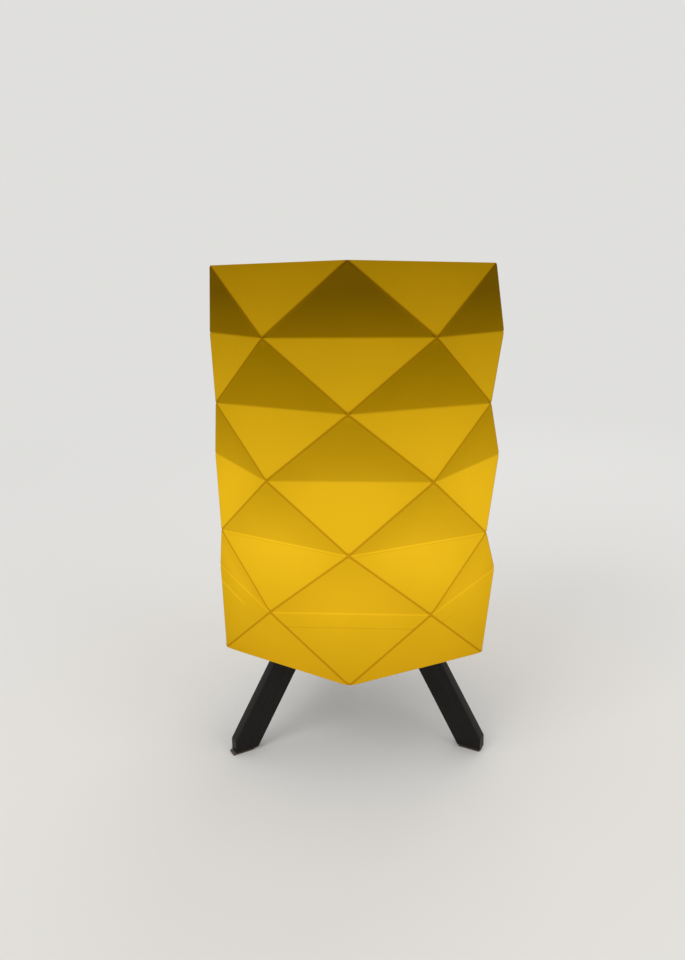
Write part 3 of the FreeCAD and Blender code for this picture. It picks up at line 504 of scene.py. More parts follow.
def felt_pad(name, place):
    """A flat pad: an outline with rounded corners, carried up a low bulging side, closed by two lids."""
    turn = math.radians(LEG_TURNS[place])
    # The front left pad is moved 2.6 mm outwards.
    pad_outset = PAD_OUTSET if place == "front_left" else 0.0
    inside = TOE_RADIUS + (TOE_TOP - SOLE) * math.tan(SPLAY) - BAR_WIDTH / math.cos(SPLAY)
    near, far = inside + PAD_INSET + pad_outset, TOE_RADIUS - PAD_INSET + pad_outset
    half = BAR_THICK / 2 - PAD_INSET
    outline = finer(rounded([(near, -half), (far, -half), (far, half), (near, half)], PAD_ROUND), 0.5)
    centre = np.array([(near + far) / 2, 0])
    waves = np.random.default_rng(int(LEG_TURNS[place]))
    angle = np.linspace(0, 2 * math.pi, len(outline), endpoint=False)
    uneven = sum(
        waves.uniform(0.01, 0.035) * np.sin(k * angle + waves.uniform(0, 6)) for k in (5, 9, 14, 23)
    )
    rows = []
    side = ((0, 0.5), (0.05, 0.14), (0.3, 0.06), (0.75, 0.04), (1.2, 0.06), (1.45, 0.14), (SOLE, 0.5))
    for height, inset in side:
        size = 1 - (inset - uneven[:, None] * (height not in (0, SOLE))) / half
        ring = centre + (outline - centre) * size
        rows.append(np.column_stack([ring, np.full(len(ring), height)]))
    lids = [np.column_stack([centre + 0 * outline, np.full(len(outline), z)]) for z in (0, SOLE)]
    grid = np.stack([lids[0], *rows, lids[1]])
    x = grid[..., 0] * math.cos(turn) - grid[..., 1] * math.sin(turn)
    y = grid[..., 0] * math.sin(turn) + grid[..., 1] * math.cos(turn)
    points = np.stack([x, y, grid[..., 2]], axis=-1).reshape(-1, 3)
    faces = grid_faces(*grid.shape[:2], close_columns=True)
    return make_piece(name, points, faces, "lamp_base", [f"pad_{place}"])


for place in LEG_TURNS:
    print(felt_pad(f"pad_{place}_felt", place).name)

# %% [markdown]
# ## The bulb and its thread
#
# The cap of a small screw-in bulb is thin sheet metal rolled into a round thread. Its radius is a wave
# that climbs by one pitch a turn: r = R - depth (1 - cos(2 pi z / pitch - angle)) / 2. The holder's thread
# sleeve follows the same wave a little further out, so the two stay clear at every height of the bulb.

# %% Bulb cap and thread sleeve
PITCH, THREAD_DEPTH, THREAD_FADE = 2.822, 0.5, 1.5
bulb_foot = heights("bulb_tip")[0]
plate_top = heights("base_plate")[1]


def threaded(first, last):
    """Pushes a turned wall in along the thread's wave, which fades in and out at its ends."""

    def shape(radius, angle, height):
        window = ease((height - first) / THREAD_FADE) * ease((last - height) / THREAD_FADE)
        wave = 0.5 - 0.5 * np.cos(2 * math.pi * height / PITCH - angle)
        return radius - THREAD_DEPTH * window * wave

    return shape


cap_corners = [(4.8, 4.5, 0), (6.5, 4.5, 0.5), (6.9, 4.9, 0.5), (6.9, 22.0, 0)]
cap_corners += [(6.5, 22.0, 0), (6.5, 4.95, 0.3), (4.8, 4.9, 0)]
turned(
    "bulb_screw_cap",
    lathe_profile(bulb_foot, cap_corners, 0.3),
    "bulb",
    ["bulb_cap"],
    shape=threaded(bulb_foot + 5.0, bulb_foot + 21.0),
)

sleeve_low, sleeve_high = heights("thread_shell")
sleeve_corners = [(5.2, sleeve_low, 0), (7.65, sleeve_low, 0.5), (7.65, sleeve_high, 0.1)]
sleeve_corners += [(7.25, sleeve_high, 0.1), (7.25, sleeve_low + 0.4, 0.2), (5.2, sleeve_low + 0.4, 0)]
turned(
    "holder_thread_sleeve",
    lathe_profile(0, sleeve_corners, 0.3),
    "lamp_base",
    ["thread_shell"],
    shape=threaded(sleeve_low + 0.6, sleeve_high - 0.6),
)

# %% [markdown]
# The bulb's body flares from a narrow neck to the globe's rim, and the opal globe is a hollow ball that is
# open at the bottom. Its profile runs from the pole of the inner skin down to the rim and up again to
# the pole of the outer one; at both poles the columns meet in one point.

# %% Bulb body and globe
body_corners = [(5.05, 16.0, 0.1), (6.45, 16.0, 0.1), (6.45, 22.0, 0.2), (8.0, 22.0, 0.8), (9.5, 26.0, 3.5)]
body_corners += [(18.9, 40.4, 2.5), (19.6, 44.0, 0.3), (18.2, 44.0, 0.2), (18.0, 42.2, 0.2)]
body_corners += [(16.2, 42.2, 0.2), (15.5, 39.7, 1.0), (8.1, 26.7, 2.0), (5.05, 23.4, 1.0)]
body_outline = lathe_profile(bulb_foot, body_corners, 1.2, steps=8)
turned("bulb_body_shell", body_outline, "bulb", ["bulb_body"])

GLOBE, GLOBE_WALL, GLOBE_MOUTH, BODY_TOP = 22.5, 1.2, 18.2, 44.0
globe_centre = bulb_foot + BODY_TOP + math.sqrt((GLOBE - GLOBE_WALL / 2) ** 2 - GLOBE_MOUTH**2)


def globe_arc(radius, count=40):
    """A ball's profile from its rim, level with the body, up to its pole."""
    first = math.asin((bulb_foot + BODY_TOP - globe_centre) / radius)
    angle = np.linspace(first, math.pi / 2, count)
    return np.stack([radius * np.cos(angle), globe_centre + radius * np.sin(angle)], axis=-1)


globe_profile = np.concatenate([globe_arc(GLOBE - GLOBE_WALL)[::-1], globe_arc(GLOBE)])
globe_profile[[0, -1], 0] = 0
turned("bulb_opal_globe", globe_profile, "bulb", ["bulb_globe"], closed=False)

# %% [markdown]
# ## The lampholder
#
# Cap and shell are moulded black plastic. Both have a belt of fine grip ribs, a wave around the axis that
# fades out above and below, and a narrow groove where the two screw together.


# %% Lampholder cap and shell
RIB_FADE, RIBS_OUTSIDE = 0.8, 10.2


def ribbed(ribs, depth, first, last):
    """Presses flutes into the outside between two heights: depth (1 - |sin(ribs angle / 2)|^0.6)."""

    def shape(radius, angle, height):
        window = ease((height - first) / RIB_FADE) * ease((last - height) / RIB_FADE)
        outside = radius > RIBS_OUTSIDE
        return radius - outside * depth * window * (1 - np.abs(np.sin(ribs * angle / 2)) ** 0.6)

    return shape


cap_corners = [(5.1, 0, 0.2), (14.0, 0, 0.3), (14.5, 0.5, 0.3), (14.5, 12.0, 0.35)]
cap_corners += [(12.9, 12.0, 0.1), (12.9, 3.0, 0.3), (5.1, 3.0, 0.2)]
turned(
    "holder_cap_moulding",
    lathe_profile(plate_top, cap_corners, 0.6),
    "lamp_base",
    ["holder_cap"],
    columns=288,
    shape=ribbed(36, 0.35, plate_top + 2.2, plate_top + 10.2),
)
shell_low, shell_high = (height - plate_top for height in heights("holder_shell"))
insert_high = heights("holder_insert")[1] - plate_top
shell_corners = [
    *((11.25, shell_low, 0.2), (12.85, shell_low, 0.2), (12.85, 12.0, 0.1), (14.5, 12.0, 0.35)),
    *((14.5, insert_high, 1.5), (10.6, insert_high + 3.9, 1.5), (10.6, shell_high - 0.5, 0.4)),
    *((10.1, shell_high, 0.3), (9.5, shell_high, 0.3), (9.0, shell_high - 0.5, 0.3)),
    *((9.0, insert_high, 0.2), (11.25, insert_high, 0.2)),
]
turned(
    "holder_shell_moulding",
    lathe_profile(plate_top, shell_corners, 0.6),
    "lamp_base",
    ["holder_shell"],
    columns=240,
    shape=ribbed(24, 0.4, plate_top + insert_high + 5.5, plate_top + shell_high - 2.0),
)

# %% [markdown]
# ## Helpers for finishes
#
# A finish is a small network of nodes. One helper adds a node and fills in its inputs, with a number or a
# link, and another sets up a node group. Effects that several finishes share are such groups: they give
# out only colours, masks and heights, and the shader itself stays in each material.


# %% Wiring nodes
def add_node(tree, kind, inputs=None, **choices):
    """Adds a node; inputs maps a socket's name or number to a value or to a socket to link from."""
    node = tree.nodes.new(kind)
    for name, value in choices.items():
        setattr(node, name, value)
    for name, value in (inputs or {}).items():
        if isinstance(value, bpy.types.NodeSocket):
            tree.links.new(value, node.inputs[name])
        else:
            node.inputs[name].default_value = value
    return node


def calc(tree, operation, first, *others):
    """Arithmetic from left to right over numbers and sockets; gives the result's socket."""
    for other in others or [0.0]:
        first = add_node(tree, "ShaderNodeMath", {0: first, 1: other}, operation=operation).outputs[0]
    return first


def vector(tree, operation, first, second=None):
    """One step of vector arithmetic; gives the result's socket, a number for lengths and products."""
    inputs = {0: first}
    if second is not None:
        inputs["Scale" if operation == "SCALE" else 1] = second
    node = add_node(tree, "ShaderNodeVectorMath", inputs, operation=operation)
    return node.outputs["Value" if operation in ("LENGTH", "DOT_PRODUCT") else 0]


def split_z(tree, place):
    """The third number of a vector."""
    return add_node(tree, "ShaderNodeSeparateXYZ", {0: place}).outputs["Z"]


def ramp(tree, value, low, high, first=0.0, last=1.0):
    """Maps value from low..high to first..last along a smooth step."""
    inputs = {"Value": value, 1: low, 2: high, 3: first, 4: last}
    node = add_node(tree, "ShaderNodeMapRange", inputs, interpolation_type="SMOOTHSTEP")
    return node.outputs[0]


def noise(tree, place, scale, detail=3.0):
    """Cloudy noise between 0 and 1."""
    inputs = {"Vector": place, "Scale": scale, "Detail": detail, "Roughness": 0.55}
    return add_node(tree, "ShaderNodeTexNoise", inputs).outputs["Fac"]


def blend(tree, factor, first, second):
    """Mixes two colours."""
    node = add_node(tree, "ShaderNodeMix", data_type="RGBA")
    for name, value in (("Factor_Float", factor), ("A_Color", first), ("B_Color", second)):
        socket = next(s for s in node.inputs if s.identifier == name)
        if isinstance(value, bpy.types.NodeSocket):
            tree.links.new(value, socket)
        else:
            socket.default_value = value
    return next(s for s in node.outputs if s.identifier == "Result_Color")


def new_group(name, inputs, outputs):
    """An empty node group: inputs are (name, kind, default) and outputs are (name, kind)."""
    tree = bpy.data.node_groups.new(name, "ShaderNodeTree")
    for label, kind, default in inputs:
        socket = tree.interface.new_socket(label, in_out="INPUT", socket_type=f"NodeSocket{kind}")
        if default is not None:
            socket.default_value = default
    for label, kind in outputs:
        tree.interface.new_socket(label, in_out="OUTPUT", socket_type=f"NodeSocket{kind}")
    return tree, tree.nodes.new("NodeGroupInput").outputs, tree.nodes.new("NodeGroupOutput").inputs


def place_group(tree, group, inputs):
    """Puts a node group into a material with its own values."""
    return add_node(tree, "ShaderNodeGroup", inputs, node_tree=group).outputs


def new_finish(name, **shader_values):
    """A material with one Principled shader; underscores in the names stand for spaces."""
    finish = bpy.data.materials.new(name)
    finish.use_nodes = True
    tree = finish.node_tree
    shader = tree.nodes["Principled BSDF"]
    for label, value in shader_values.items():
        shader.inputs[label.replace("_", " ")].default_value = value
    return finish, tree, shader


def object_place(tree):
    """The point's place on the piece, in millimetres."""
    place = tree.nodes.new("ShaderNodeTexCoord").outputs["Object"]
    return vector(tree, "SCALE", place, 1 / MM)


def dress(tree, shader, group, inputs, bump):
    """Feeds a group's colour and roughness to the shader, and its height as a bump of so many mm."""
    result = place_group(tree, group, inputs)
    for given, taken in (("Color", "Base Color"), ("Roughness", "Roughness")):
        tree.links.new(result[given], shader.inputs[taken])
    height = {"Height": result["Height"], "Distance": bump * MM, "Strength": 1.0}
    tree.links.new(add_node(tree, "ShaderNodeBump", height).outputs[0], shader.inputs["Normal"])


def glow(tree, shader, colour):
    """Makes the surface give off a colour."""
    tree.links.new(colour, shader.inputs["Emission Color"])
    shader.inputs["Emission Strength"].default_value = 1.0


# %% [markdown]
# ## Shared effects
#
# * Lamplight: how brightly a point of the sheet glows from inside. The bulb's own share falls with the
#   square of the distance and with the cosine of the angle at which it arrives; it comes out negative
#   where a surface looks towards the bulb. The rest has bounced about inside; it depends on how far up the
#   point is and on which way its panel leans.
# * Fine grain: the soft mottling and the tiny bumps of card, paint and moulded plastic.
# * Wood grain: long streaks along the bar under a thin black stain.
# * Drawn metal: streaks around or along a metal piece.

# %% Node groups
SURFACE = [("Color", "Color"), ("Roughness", "Float"), ("Height", "Float")]
TONES = [(tone, "Color", (1, 1, 1, 1)) for tone in ("Light tone", "Dark tone")]
lamplight, given, result = new_group(
    "Lamplight",
    [("Place", "Vector", None), ("Facing", "Vector", None), ("Bulb height", "Float", 150.0)],
    [("Direct", "Float"), ("Lean", "Float"), ("Rise", "Float")],
)
source = add_node(lamplight, "ShaderNodeCombineXYZ", {"Z": given["Bulb height"]}).outputs[0]
# The ray's length is in units of 100 mm.
ray = vector(lamplight, "SCALE", vector(lamplight, "SUBTRACT", given["Place"], source), 0.01)
facing = vector(lamplight, "DOT_PRODUCT", ray, given["Facing"])
direct = calc(lamplight, "DIVIDE", facing, calc(lamplight, "POWER", vector(lamplight, "LENGTH", ray), 3.0))
# On the inner skin the surface faces inwards, so its lean is turned round.
lean = calc(lamplight, "MULTIPLY", split_z(lamplight, given["Facing"]), calc(lamplight, "SIGN", facing))
rise = split_z(lamplight, ray)
for label, value in (("Direct", direct), ("Lean", lean), ("Rise", rise)):
    lamplight.links.new(value, result[label])

fine_grain, given, result = new_group(
    "Fine grain",
    [
        ("Place", "Vector", None),
        ("Grain size", "Float", 1.0),
        *TONES,
        ("Roughness", "Float", 0.5),
        ("Roughness spread", "Float", 0.1),
    ],
    SURFACE,
)
finer_by = calc(fine_grain, "DIVIDE", 1.0, given["Grain size"])
grain_place = vector(fine_grain, "SCALE", given["Place"], finer_by)
fine = noise(fine_grain, grain_place, 1.0, detail=4.0)
coarse = noise(fine_grain, grain_place, 0.07)
weighted = calc(fine_grain, "MULTIPLY", fine, 0.45), calc(fine_grain, "MULTIPLY", coarse, 0.55)
mottle = ramp(fine_grain, calc(fine_grain, "ADD", *weighted), 0.3, 0.7)
fine_grain.links.new(blend(fine_grain, mottle, given["Dark tone"], given["Light tone"]), result["Color"])
swing = calc(fine_grain, "MULTIPLY", calc(fine_grain, "SUBTRACT", coarse, 0.5), given["Roughness spread"])
fine_grain.links.new(calc(fine_grain, "ADD", given["Roughness"], swing), result["Roughness"])
fine_grain.links.new(fine, result["Height"])

wood_grain, given, result = new_group(
    "Wood grain",
    [
        ("Along", "Vector", None),
        ("Stain", "Color", (0.01, 0.01, 0.01, 1)),
        ("Worn", "Color", (0.03, 0.025, 0.02, 1)),
    ],
    SURFACE,
)
streaks, pores = (
    noise(wood_grain, vector(wood_grain, "MULTIPLY", given["Along"], finely), 1.0, detail=detail)
    for finely, detail in (((0.035, 0.9, 0.9), 6.0), ((0.16, 3.2, 3.2), 2.0))
)
clouds = ramp(wood_grain, noise(wood_grain, given["Along"], 0.05, detail=2.0), 0.3, 0.75, 0.45, 1.0)
figure = calc(wood_grain, "MULTIPLY", ramp(wood_grain, streaks, 0.42, 0.68), clouds)
wood_grain.links.new(blend(wood_grain, figure, given["Stain"], given["Worn"]), result["Color"])
rough = calc(wood_grain, "ADD", 0.42, calc(wood_grain, "MULTIPLY", streaks, 0.22))
wood_grain.links.new(rough, result["Roughness"])
deep_pores = calc(wood_grain, "MULTIPLY", ramp(wood_grain, pores, 0.55, 0.75), 0.4)
grain_height = calc(wood_grain, "SUBTRACT", calc(wood_grain, "MULTIPLY", streaks, 0.6), deep_pores)
wood_grain.links.new(grain_height, result["Height"])

drawn_metal, given, result = new_group(
    "Drawn metal",
    [
        ("Place", "Vector", None),
        ("Streak", "Vector", (1.0, 1.0, 6.0)),
        *TONES,
        ("Roughness", "Float", 0.3),
    ],
    SURFACE,
)
streak = noise(drawn_metal, vector(drawn_metal, "MULTIPLY", given["Place"], given["Streak"]), 1.0, detail=4.0)
tarnish = ramp(drawn_metal, noise(drawn_metal, given["Place"], 0.35), 0.35, 0.75)
drawn_metal.links.new(blend(drawn_metal, tarnish, given["Light tone"], given["Dark tone"]), result["Color"])
uneven = calc(drawn_metal, "ADD", streak, calc(drawn_metal, "MULTIPLY", tarnish, 0.8))
rough = calc(drawn_metal, "ADD", given["Roughness"], calc(drawn_metal, "MULTIPLY", uneven, 0.14))
drawn_metal.links.new(rough, result["Roughness"])
drawn_metal.links.new(streak, result["Height"])
print("node groups", [group.name for group in bpy.data.node_groups])

# %% [markdown]
# ## The lit sheet
#
# Seen from outside, the sheet has its own yellow and, on top of it, the bulb's light that comes through.
# The second part could be real light that passes the wall, but that is slow, grainy and lost on export.
# Here it is worked out in the material and given off as a glow: for the bulb's direct light E, the panel's
# lean n and the rise z above the bulb, glow = a E + b + c n + d z + e n z + f z^2 in red, green and blue.
# E and z count lengths in units of 100 mm. The eighteen factors were fitted by least squares to how bright
# the panels are in the photograph, so they hold for this lamp and its bulb only.
#
# The ridges were scored before folding. They let less light through and show as soft, slightly ragged dark
# lines with a darker spot where they meet. The lowest valleys show a fine bright line, painted light where
# more lamplight passes the thin crease, with a painted shadow line just under the second valley.

# %% The sheet's finish
GLOW = {
    "direct": (0.2676, 0.1753, 0.0066),
    "even": (0.3359, 0.1826, 0.0017),
    "lean": (0.1357, 0.0931, 0.0026),
    "rise": (-0.0182, -0.0013, -0.0003),
    "lean and rise": (0.1165, 0.0522, 0.0009),
    "rise squared": (-0.0870, -0.0527, -0.0007),
}
OWN_COLOUR = (0.16, 0.085, 0.0008)
CREASE_TINT = (0.71, 0.62, 0.50, 1)
FLANGE_DEPTH, LAP_WIDTH, BULB_LIGHT = 8.8, 9.0, 150.6


def lamplight_at(tree, place):
    """The lamplight at a point of a piece."""
    facing = tree.nodes.new("ShaderNodeNewGeometry").outputs["Normal"]
    return place_group(tree, lamplight, {"Place": place, "Facing": facing, "Bulb height": BULB_LIGHT})


sheet_finish, tree, shader = new_finish("lit_sheet", Roughness=0.5, Specular_IOR_Level=0.0)
place = object_place(tree)
light = lamplight_at(tree, place)


def carried(name):
    """One of the numbers that the mesh carries."""
    return add_node(tree, "ShaderNodeAttribute", attribute_name=name).outputs["Fac"]


def product(*values):
    """The values multiplied together."""
    return calc(tree, "MULTIPLY", *values)


def row_is(number):
    """1 on the panels whose valley is in this row, else 0."""
    inputs = {0: carried("fold_row"), 1: float(number), 2: 0.1}
    return add_node(tree, "ShaderNodeMath", inputs, operation="COMPARE").outputs[0]


rise, lean = light["Rise"], light["Lean"]
shares = (calc(tree, "ABSOLUTE", light["Direct"]), 1.0, lean, rise, product(lean, rise), product(rise, rise))
glow_colour = (0.0, 0.0, 0.0)
for colour, share in zip(GLOW.values(), shares):
    glow_colour = vector(tree, "ADD", glow_colour, vector(tree, "SCALE", colour, share))

valley, waver = carried("valley"), product(calc(tree, "SUBTRACT", noise(tree, place, 0.9), 0.5), 0.5)
ridge_line = ramp(tree, calc(tree, "ADD", carried("ridge"), waver), 0.35, 1.15, 1.0, 0.0)
corner_spot = ramp(tree, calc(tree, "ADD", carried("corner"), waver), 0.8, 2.8, 0.45, 0.0)
crease_tint = blend(tree, calc(tree, "ADD", ridge_line, corner_spot), (1.0, 1.0, 1.0, 1), CREASE_TINT)
# Painted light: a fine bright line along the lowest valleys, where more lamplight passes the thin crease.
bright_line = ramp(tree, valley, 0.25, 0.95, 1.0, 0.0)
brightness = calc(tree, "ADD", product(row_is(1), 0.12), product(row_is(2), 0.10))
# Painted shade: a dark line just under the second valley.
shadow_line = product(ramp(tree, valley, 0.5, 0.9), ramp(tree, valley, 1.0, 1.6, 1.0, 0.0))
flange_far = calc(tree, "ABSOLUTE", calc(tree, "SUBTRACT", valley, FLANGE_DEPTH))
# Painted shade: the lap's doubled sheet is darker, as less lamplight passes it.
lap = ramp(tree, carried("lap"), LAP_WIDTH - 0.3, LAP_WIDTH + 0.1, 1.0, 0.0)
mottle = calc(tree, "SUBTRACT", noise(tree, place, 0.035, detail=4.0), 0.5)
# Painted light and shade laid over the sheet: the bright valley line, the shadow line, the flange's line and
# the darker lap. The mottle and the panels' tone are the sheet's own uneven colour.
tone_and_painted_light = calc(
    tree,
    "ADD",
    1.0,
    product(bright_line, brightness),
    product(shadow_line, carried("points_down"), row_is(2), -0.10),
    product(ramp(tree, flange_far, 0.1, 0.6, 1.0, 0.0), carried("flange"), 0.14),
    product(lap, -0.16),
    product(mottle, 0.10),
    product(carried("tone"), 0.012),
)


def passed(colour):
    """A colour as it looks through the sheet's creases, with painted light and shade and the sheet's uneven
    tone laid over it.
    """
    return vector(tree, "SCALE", vector(tree, "MULTIPLY", colour, crease_tint), tone_and_painted_light)


glow(tree, shader, vector(tree, "MAXIMUM", passed(glow_colour), (0.0, 0.0, 0.0)))
# The crease lines, which come from light passing the scored ridges, and the painted light and shade of the
# lines and the lap also darken and lighten the sheet's own colour.
tree.links.new(passed(OWN_COLOUR), shader.inputs["Base Color"])
folded_sheet.data.materials.append(sheet_finish)

# %% [markdown]
# ## Wood, felt, plastic and metal
#
# The other finishes differ only in their values, so three short functions make them: a grained one for
# card, paint, felt and plastic, a metal one, and one for the stained wood. The ring and the plate are close
# to the bulb, so their sides that look towards it are lit by it.


# %% Finishes of the base, the holder and the bulb
def tones(light, dark):
    """Two colours as a group's inputs."""
    return {"Light tone": (*light, 1), "Dark tone": (*dark, 1)}


def grained(name, light_tone, dark_tone, grain, bump, roughness, spread=0.12, lit=None, **shader_values):
    """Card, paint, felt or moulded plastic: two tones, a grain size in mm and a bump height in mm.

    lit is the colour that the bulb gives to the sides that look towards it, if it reaches them.
    """
    finish, tree, shader = new_finish(name, **shader_values)
    place = object_place(tree)
    inputs = {
        "Place": place,
        "Grain size": grain,
        "Roughness": roughness,
        "Roughness spread": spread,
        **tones(light_tone, dark_tone),
    }
    dress(tree, shader, fine_grain, inputs, bump)
    if lit:
        light = lamplight_at(tree, place)["Direct"]
        towards = calc(tree, "MULTIPLY", calc(tree, "MINIMUM", light, 0.0), -1.0)
        glow(tree, shader, vector(tree, "SCALE", lit, towards))
    return finish


def metal(name, light_tone, dark_tone, roughness, streak=(1.0, 1.0, 6.0)):
    """Plated or drawn metal with streaks."""
    finish, tree, shader = new_finish(name, Metallic=1.0)
    inputs = {
        "Place": object_place(tree),
        "Streak": streak,
        "Roughness": roughness,
        **tones(light_tone, dark_tone),
    }
    dress(tree, shader, drawn_metal, inputs, 0.01)
    return finish


def stained_wood(name, carried_grain):
    """Black-stained wood; its grain follows the bar's own lengths, or else the disc's."""
    finish, tree, shader = new_finish(name, Specular_IOR_Level=0.2)
    if carried_grain:
        along = add_node(tree, "ShaderNodeAttribute", attribute_name="grain").outputs["Vector"]
    else:
        along = object_place(tree)
    inputs = {"Along": along, "Stain": (0.0050, 0.0045, 0.0042, 1), "Worn": (0.013, 0.0105, 0.0085, 1)}
    dress(tree, shader, wood_grain, inputs, 0.12)
    return finish


opal, tree, shader = new_finish("opal_lit", Roughness=0.35, Specular_IOR_Level=0.4)
place = object_place(tree)
height_share = ramp(tree, split_z(tree, place), globe_centre - 16, globe_centre + 20)
clouds = calc(tree, "MULTIPLY", noise(tree, place, 0.12), 0.06)
warm = blend(tree, calc(tree, "ADD", height_share, clouds), (0.95, 0.60, 0.22, 1), (1.0, 0.86, 0.52, 1))
glow(tree, shader, warm)
tree.links.new(blend(tree, clouds, (0.62, 0.60, 0.54, 1), (0.5, 0.47, 0.4, 1)), shader.inputs["Base Color"])

finishes = {
    "bulb_opal_globe": opal,
    "stiffener_ring": grained(
        "ring_card", (0.60, 0.36, 0.02), (0.52, 0.30, 0.015), 0.5, 0.02, 0.75, lit=(0.75, 0.47, 0.02)
    ),
    "base_plate": grained(
        "plate_enamel", (0.74, 0.72, 0.66), (0.68, 0.66, 0.60), 0.8, 0.02, 0.4, lit=(0.22, 0.17, 0.07)
    ),
    "leg_hub": stained_wood("hub_wood", False),
    "leg_back_bar": stained_wood("leg_wood", True),
    "pad_back_felt": grained(
        "foot_felt", (0.075, 0.045, 0.03), (0.028, 0.017, 0.012), 0.22, 0.12, 0.92, Sheen_Weight=0.35
    ),
    "plate_screws": metal("zinc_plate", (0.60, 0.60, 0.57), (0.48, 0.48, 0.45), 0.28),
    "holder_cap_moulding": grained(
        "black_moulding", (0.026, 0.026, 0.027), (0.017, 0.017, 0.018), 0.35, 0.015, 0.42
    ),
    "holder_insert": grained("cream_insert", (0.74, 0.70, 0.60), (0.66, 0.61, 0.51), 0.6, 0.01, 0.5),
    "bulb_screw_cap": metal("nickel_plate", (0.68, 0.66, 0.61), (0.54, 0.52, 0.47), 0.2, (0.4, 0.4, 2.0)),
    "centre_contact": metal("contact_brass", (0.72, 0.52, 0.22), (0.55, 0.37, 0.14), 0.26, (4.0, 0.6, 0.6)),
    "bulb_tip": metal("solder", (0.56, 0.56, 0.55), (0.40, 0.40, 0.39), 0.3, (1.0, 1.0, 1.0)),
    "bulb_insulator": grained(
        "black_glass", (0.016, 0.016, 0.02), (0.010, 0.010, 0.013), 1.5, 0.002, 0.08, 0.05
    ),
    "bulb_body_shell": grained("white_moulding", (0.80, 0.80, 0.77), (0.75, 0.75, 0.72), 0.5, 0.01, 0.38),
    "led_board": grained("white_board", (0.78, 0.78, 0.76), (0.70, 0.70, 0.68), 0.8, 0.005, 0.35),
    "led_chips": grained("diode_gel", (0.80, 0.62, 0.12), (0.72, 0.52, 0.08), 0.6, 0.01, 0.25),
    "driver_board": grained("green_board", (0.045, 0.17, 0.06), (0.03, 0.12, 0.04), 0.5, 0.01, 0.35),
    "driver_parts": grained("component_case", (0.030, 0.030, 0.034), (0.020, 0.020, 0.022), 0.4, 0.01, 0.4),
}
same_finish = {
    "plate_screws": ("nipple", "nipple_washer", "nipple_nut", "terminal_screws"),
    "holder_cap_moulding": ("holder_shell_moulding", "cord_bush"),
    "bulb_screw_cap": ("holder_thread_sleeve",),
    "centre_contact": ("terminal_blocks",),
    "leg_back_bar": ("leg_front_left_bar", "leg_front_right_bar"),
    "pad_back_felt": ("pad_front_left_felt", "pad_front_right_felt"),
}
finishes |= {name: finishes[first] for first, others in same_finish.items() for name in others}
for name, finish in finishes.items():
    data = bpy.data.objects[name].data
    data.materials.clear()
    data.materials.append(finish)
plain = [o.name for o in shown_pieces() if o.name not in finishes and o is not folded_sheet]
print("finishes", len({f.name for f in finishes.values()}), "pieces without one", plain)

# %% [markdown]
# ## Studio
#
# A pale floor that runs out into a pale background, and soft light from all sides with a little more from
# the front left and above. The light's level is such that a colour shows about as it is written.

# %% Floor, background and lamps
PALE, FLOOR_COLOUR, AROUND_STRENGTH = (0.745, 0.74, 0.725, 1), (0.76, 0.755, 0.74, 1), 0.76
FLOOR_HALF, FADE_FROM, FADE_TO = 6.0, 0.5, 1.8
LAMPS_LOOK_AT = (0, 0, 0.17)


def seen_share(tree):
    """1 where the camera looks, directly, in a reflection or through a clear piece, else 0."""
    rays = tree.nodes.new("ShaderNodeLightPath").outputs
    return calc(tree, "MAXIMUM", *(rays[f"Is {kind} Ray"] for kind in ("Camera", "Glossy", "Transmission")))


floor_mesh = bpy.data.meshes.new("studio_floor")
corners = [(x * FLOOR_HALF, y * FLOOR_HALF, 0) for x, y in ((-1, -1), (1, -1), (1, 1), (-1, 1))]
floor_mesh.from_pydata(corners, [], [(0, 1, 2, 3)])
floor = new_object("studio_floor", floor_mesh)
floor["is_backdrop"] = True
floor_finish = bpy.data.materials.new("pale_floor")
floor_finish.use_nodes = True
tree = floor_finish.node_tree
tree.nodes.clear()
place = tree.nodes.new("ShaderNodeTexCoord").outputs["Object"]
far = vector(tree, "LENGTH", place)
share = calc(tree, "MULTIPLY", ramp(tree, far, FADE_FROM, FADE_TO), seen_share(tree))
matt = add_node(tree, "ShaderNodeBsdfDiffuse", {"Color": FLOOR_COLOUR}).outputs[0]
backdrop = add_node(tree, "ShaderNodeEmission", {"Color": PALE}).outputs[0]
mixed = add_node(tree, "ShaderNodeMixShader", {0: share, 1: matt, 2: backdrop}).outputs[0]
add_node(tree, "ShaderNodeOutputMaterial", {0: mixed})
floor_mesh.materials.append(floor_finish)

world = bpy.data.worlds.new("studio")
bpy.context.scene.world = world
world.use_nodes = True
tree = world.node_tree
tree.nodes.clear()
around, backdrop = (
    add_node(tree, "ShaderNodeBackground", {"Color": colour, "Strength": strength}).outputs[0]
    for colour, strength in (((1, 1, 1, 1), AROUND_STRENGTH), (PALE, 1.0))
)
mixed = add_node(tree, "ShaderNodeMixShader", {0: seen_share(tree), 1: around, 2: backdrop}).outputs[0]
add_node(tree, "ShaderNodeOutputWorld", {0: mixed})


def stand(thing, place, x, y, z):
    """Puts a lamp or camera at a place, with its own axes along x, y and z."""
    pose = np.eye(4)
    pose[:3] = np.stack([x, y, z, place], axis=1)
    thing.matrix_world = Matrix(pose)


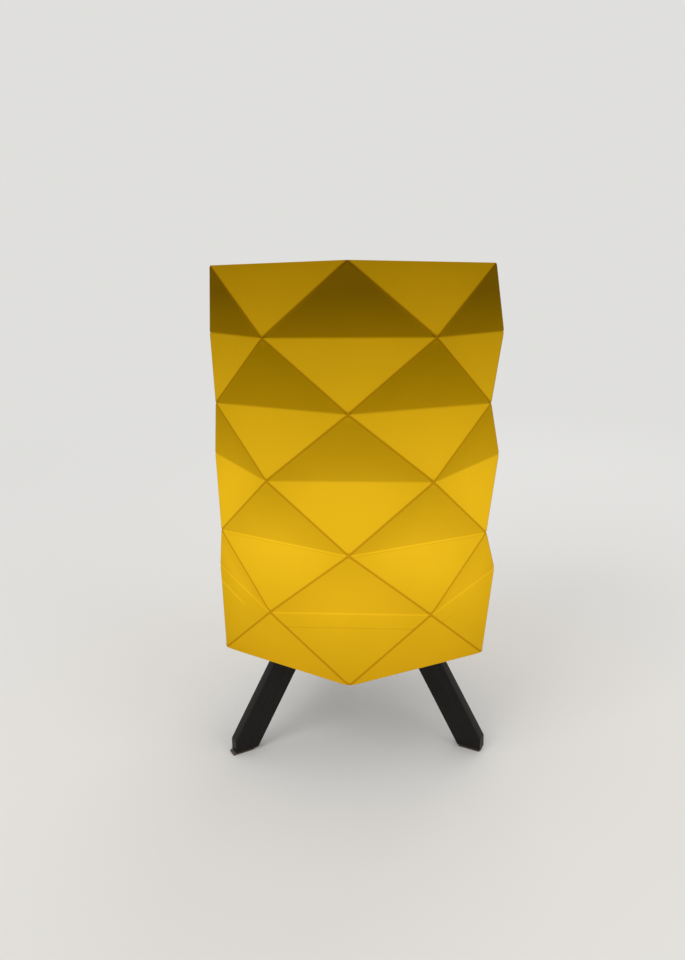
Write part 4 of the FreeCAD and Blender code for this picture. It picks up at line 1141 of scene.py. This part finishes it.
def soft_lamp(name, place, power, size):
    """A square lamp that looks at the middle of the object; its power is in watts, its size in m."""
    data = bpy.data.lights.new(name, "AREA")
    data.energy, data.size = power, size
    lamp = new_object(name, data)
    z = unit(np.subtract(place, LAMPS_LOOK_AT))
    x = unit(np.cross([0, 0, 1], z))
    stand(lamp, place, x, np.cross(z, x), z)


soft_lamp("key_lamp", (-1.1, -1.3, 1.5), 11.0, 1.1)
soft_lamp("fill_lamp", (1.4, -1.0, 0.9), 5.0, 1.2)
soft_lamp("back_lamp", (0.4, 1.6, 1.3), 6.0, 1.2)

# %% [markdown]
# ## Camera
#
# The camera's place and angle were worked out from the fold's corners in the photograph: a little below
# the height of the shade's top, about half a metre in front of it and looking slightly down.

# %% Camera
TOP = sheet_high[2]
CAMERA_AWAY, CAMERA_BELOW_TOP = 522.54, 21.19
PITCH_DOWN, HEADING, ROLL = 0.2329, -0.0178, 0.0068
SHADE_TURN = math.radians(2.42)
FOCAL_PIXELS, LONG_SIDE, SENSOR = 757.34, 960, 36

camera_data = bpy.data.cameras.new("camera")
camera_data.sensor_width = SENSOR
camera_data.lens = FOCAL_PIXELS / LONG_SIDE * SENSOR
camera_data.clip_start, camera_data.clip_end = 0.01, 50
camera = new_object("camera", camera_data)
level_right = np.array([math.cos(HEADING), -math.sin(HEADING), 0])
ahead = np.array([math.sin(HEADING), math.cos(HEADING), 0])
forward = ahead * math.cos(PITCH_DOWN) - np.array([0, 0, math.sin(PITCH_DOWN)])
tilted_up = ahead * math.sin(PITCH_DOWN) + np.array([0, 0, math.cos(PITCH_DOWN)])
right = math.cos(ROLL) * level_right - math.sin(ROLL) * tilted_up
up = math.sin(ROLL) * level_right + math.cos(ROLL) * tilted_up
turned_by = np.array(Matrix.Rotation(SHADE_TURN, 3, "Z"))
place = turned_by @ np.array([0, -CAMERA_AWAY, TOP - CAMERA_BELOW_TOP]) * MM
stand(camera, place, *(turned_by @ axis for axis in (right, up, -forward)))
bpy.context.scene.camera = camera
bpy.context.scene.view_settings.view_transform = "Standard"
print("camera at", [round(v, 3) for v in place], "lens", round(camera_data.lens, 2))

low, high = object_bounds()
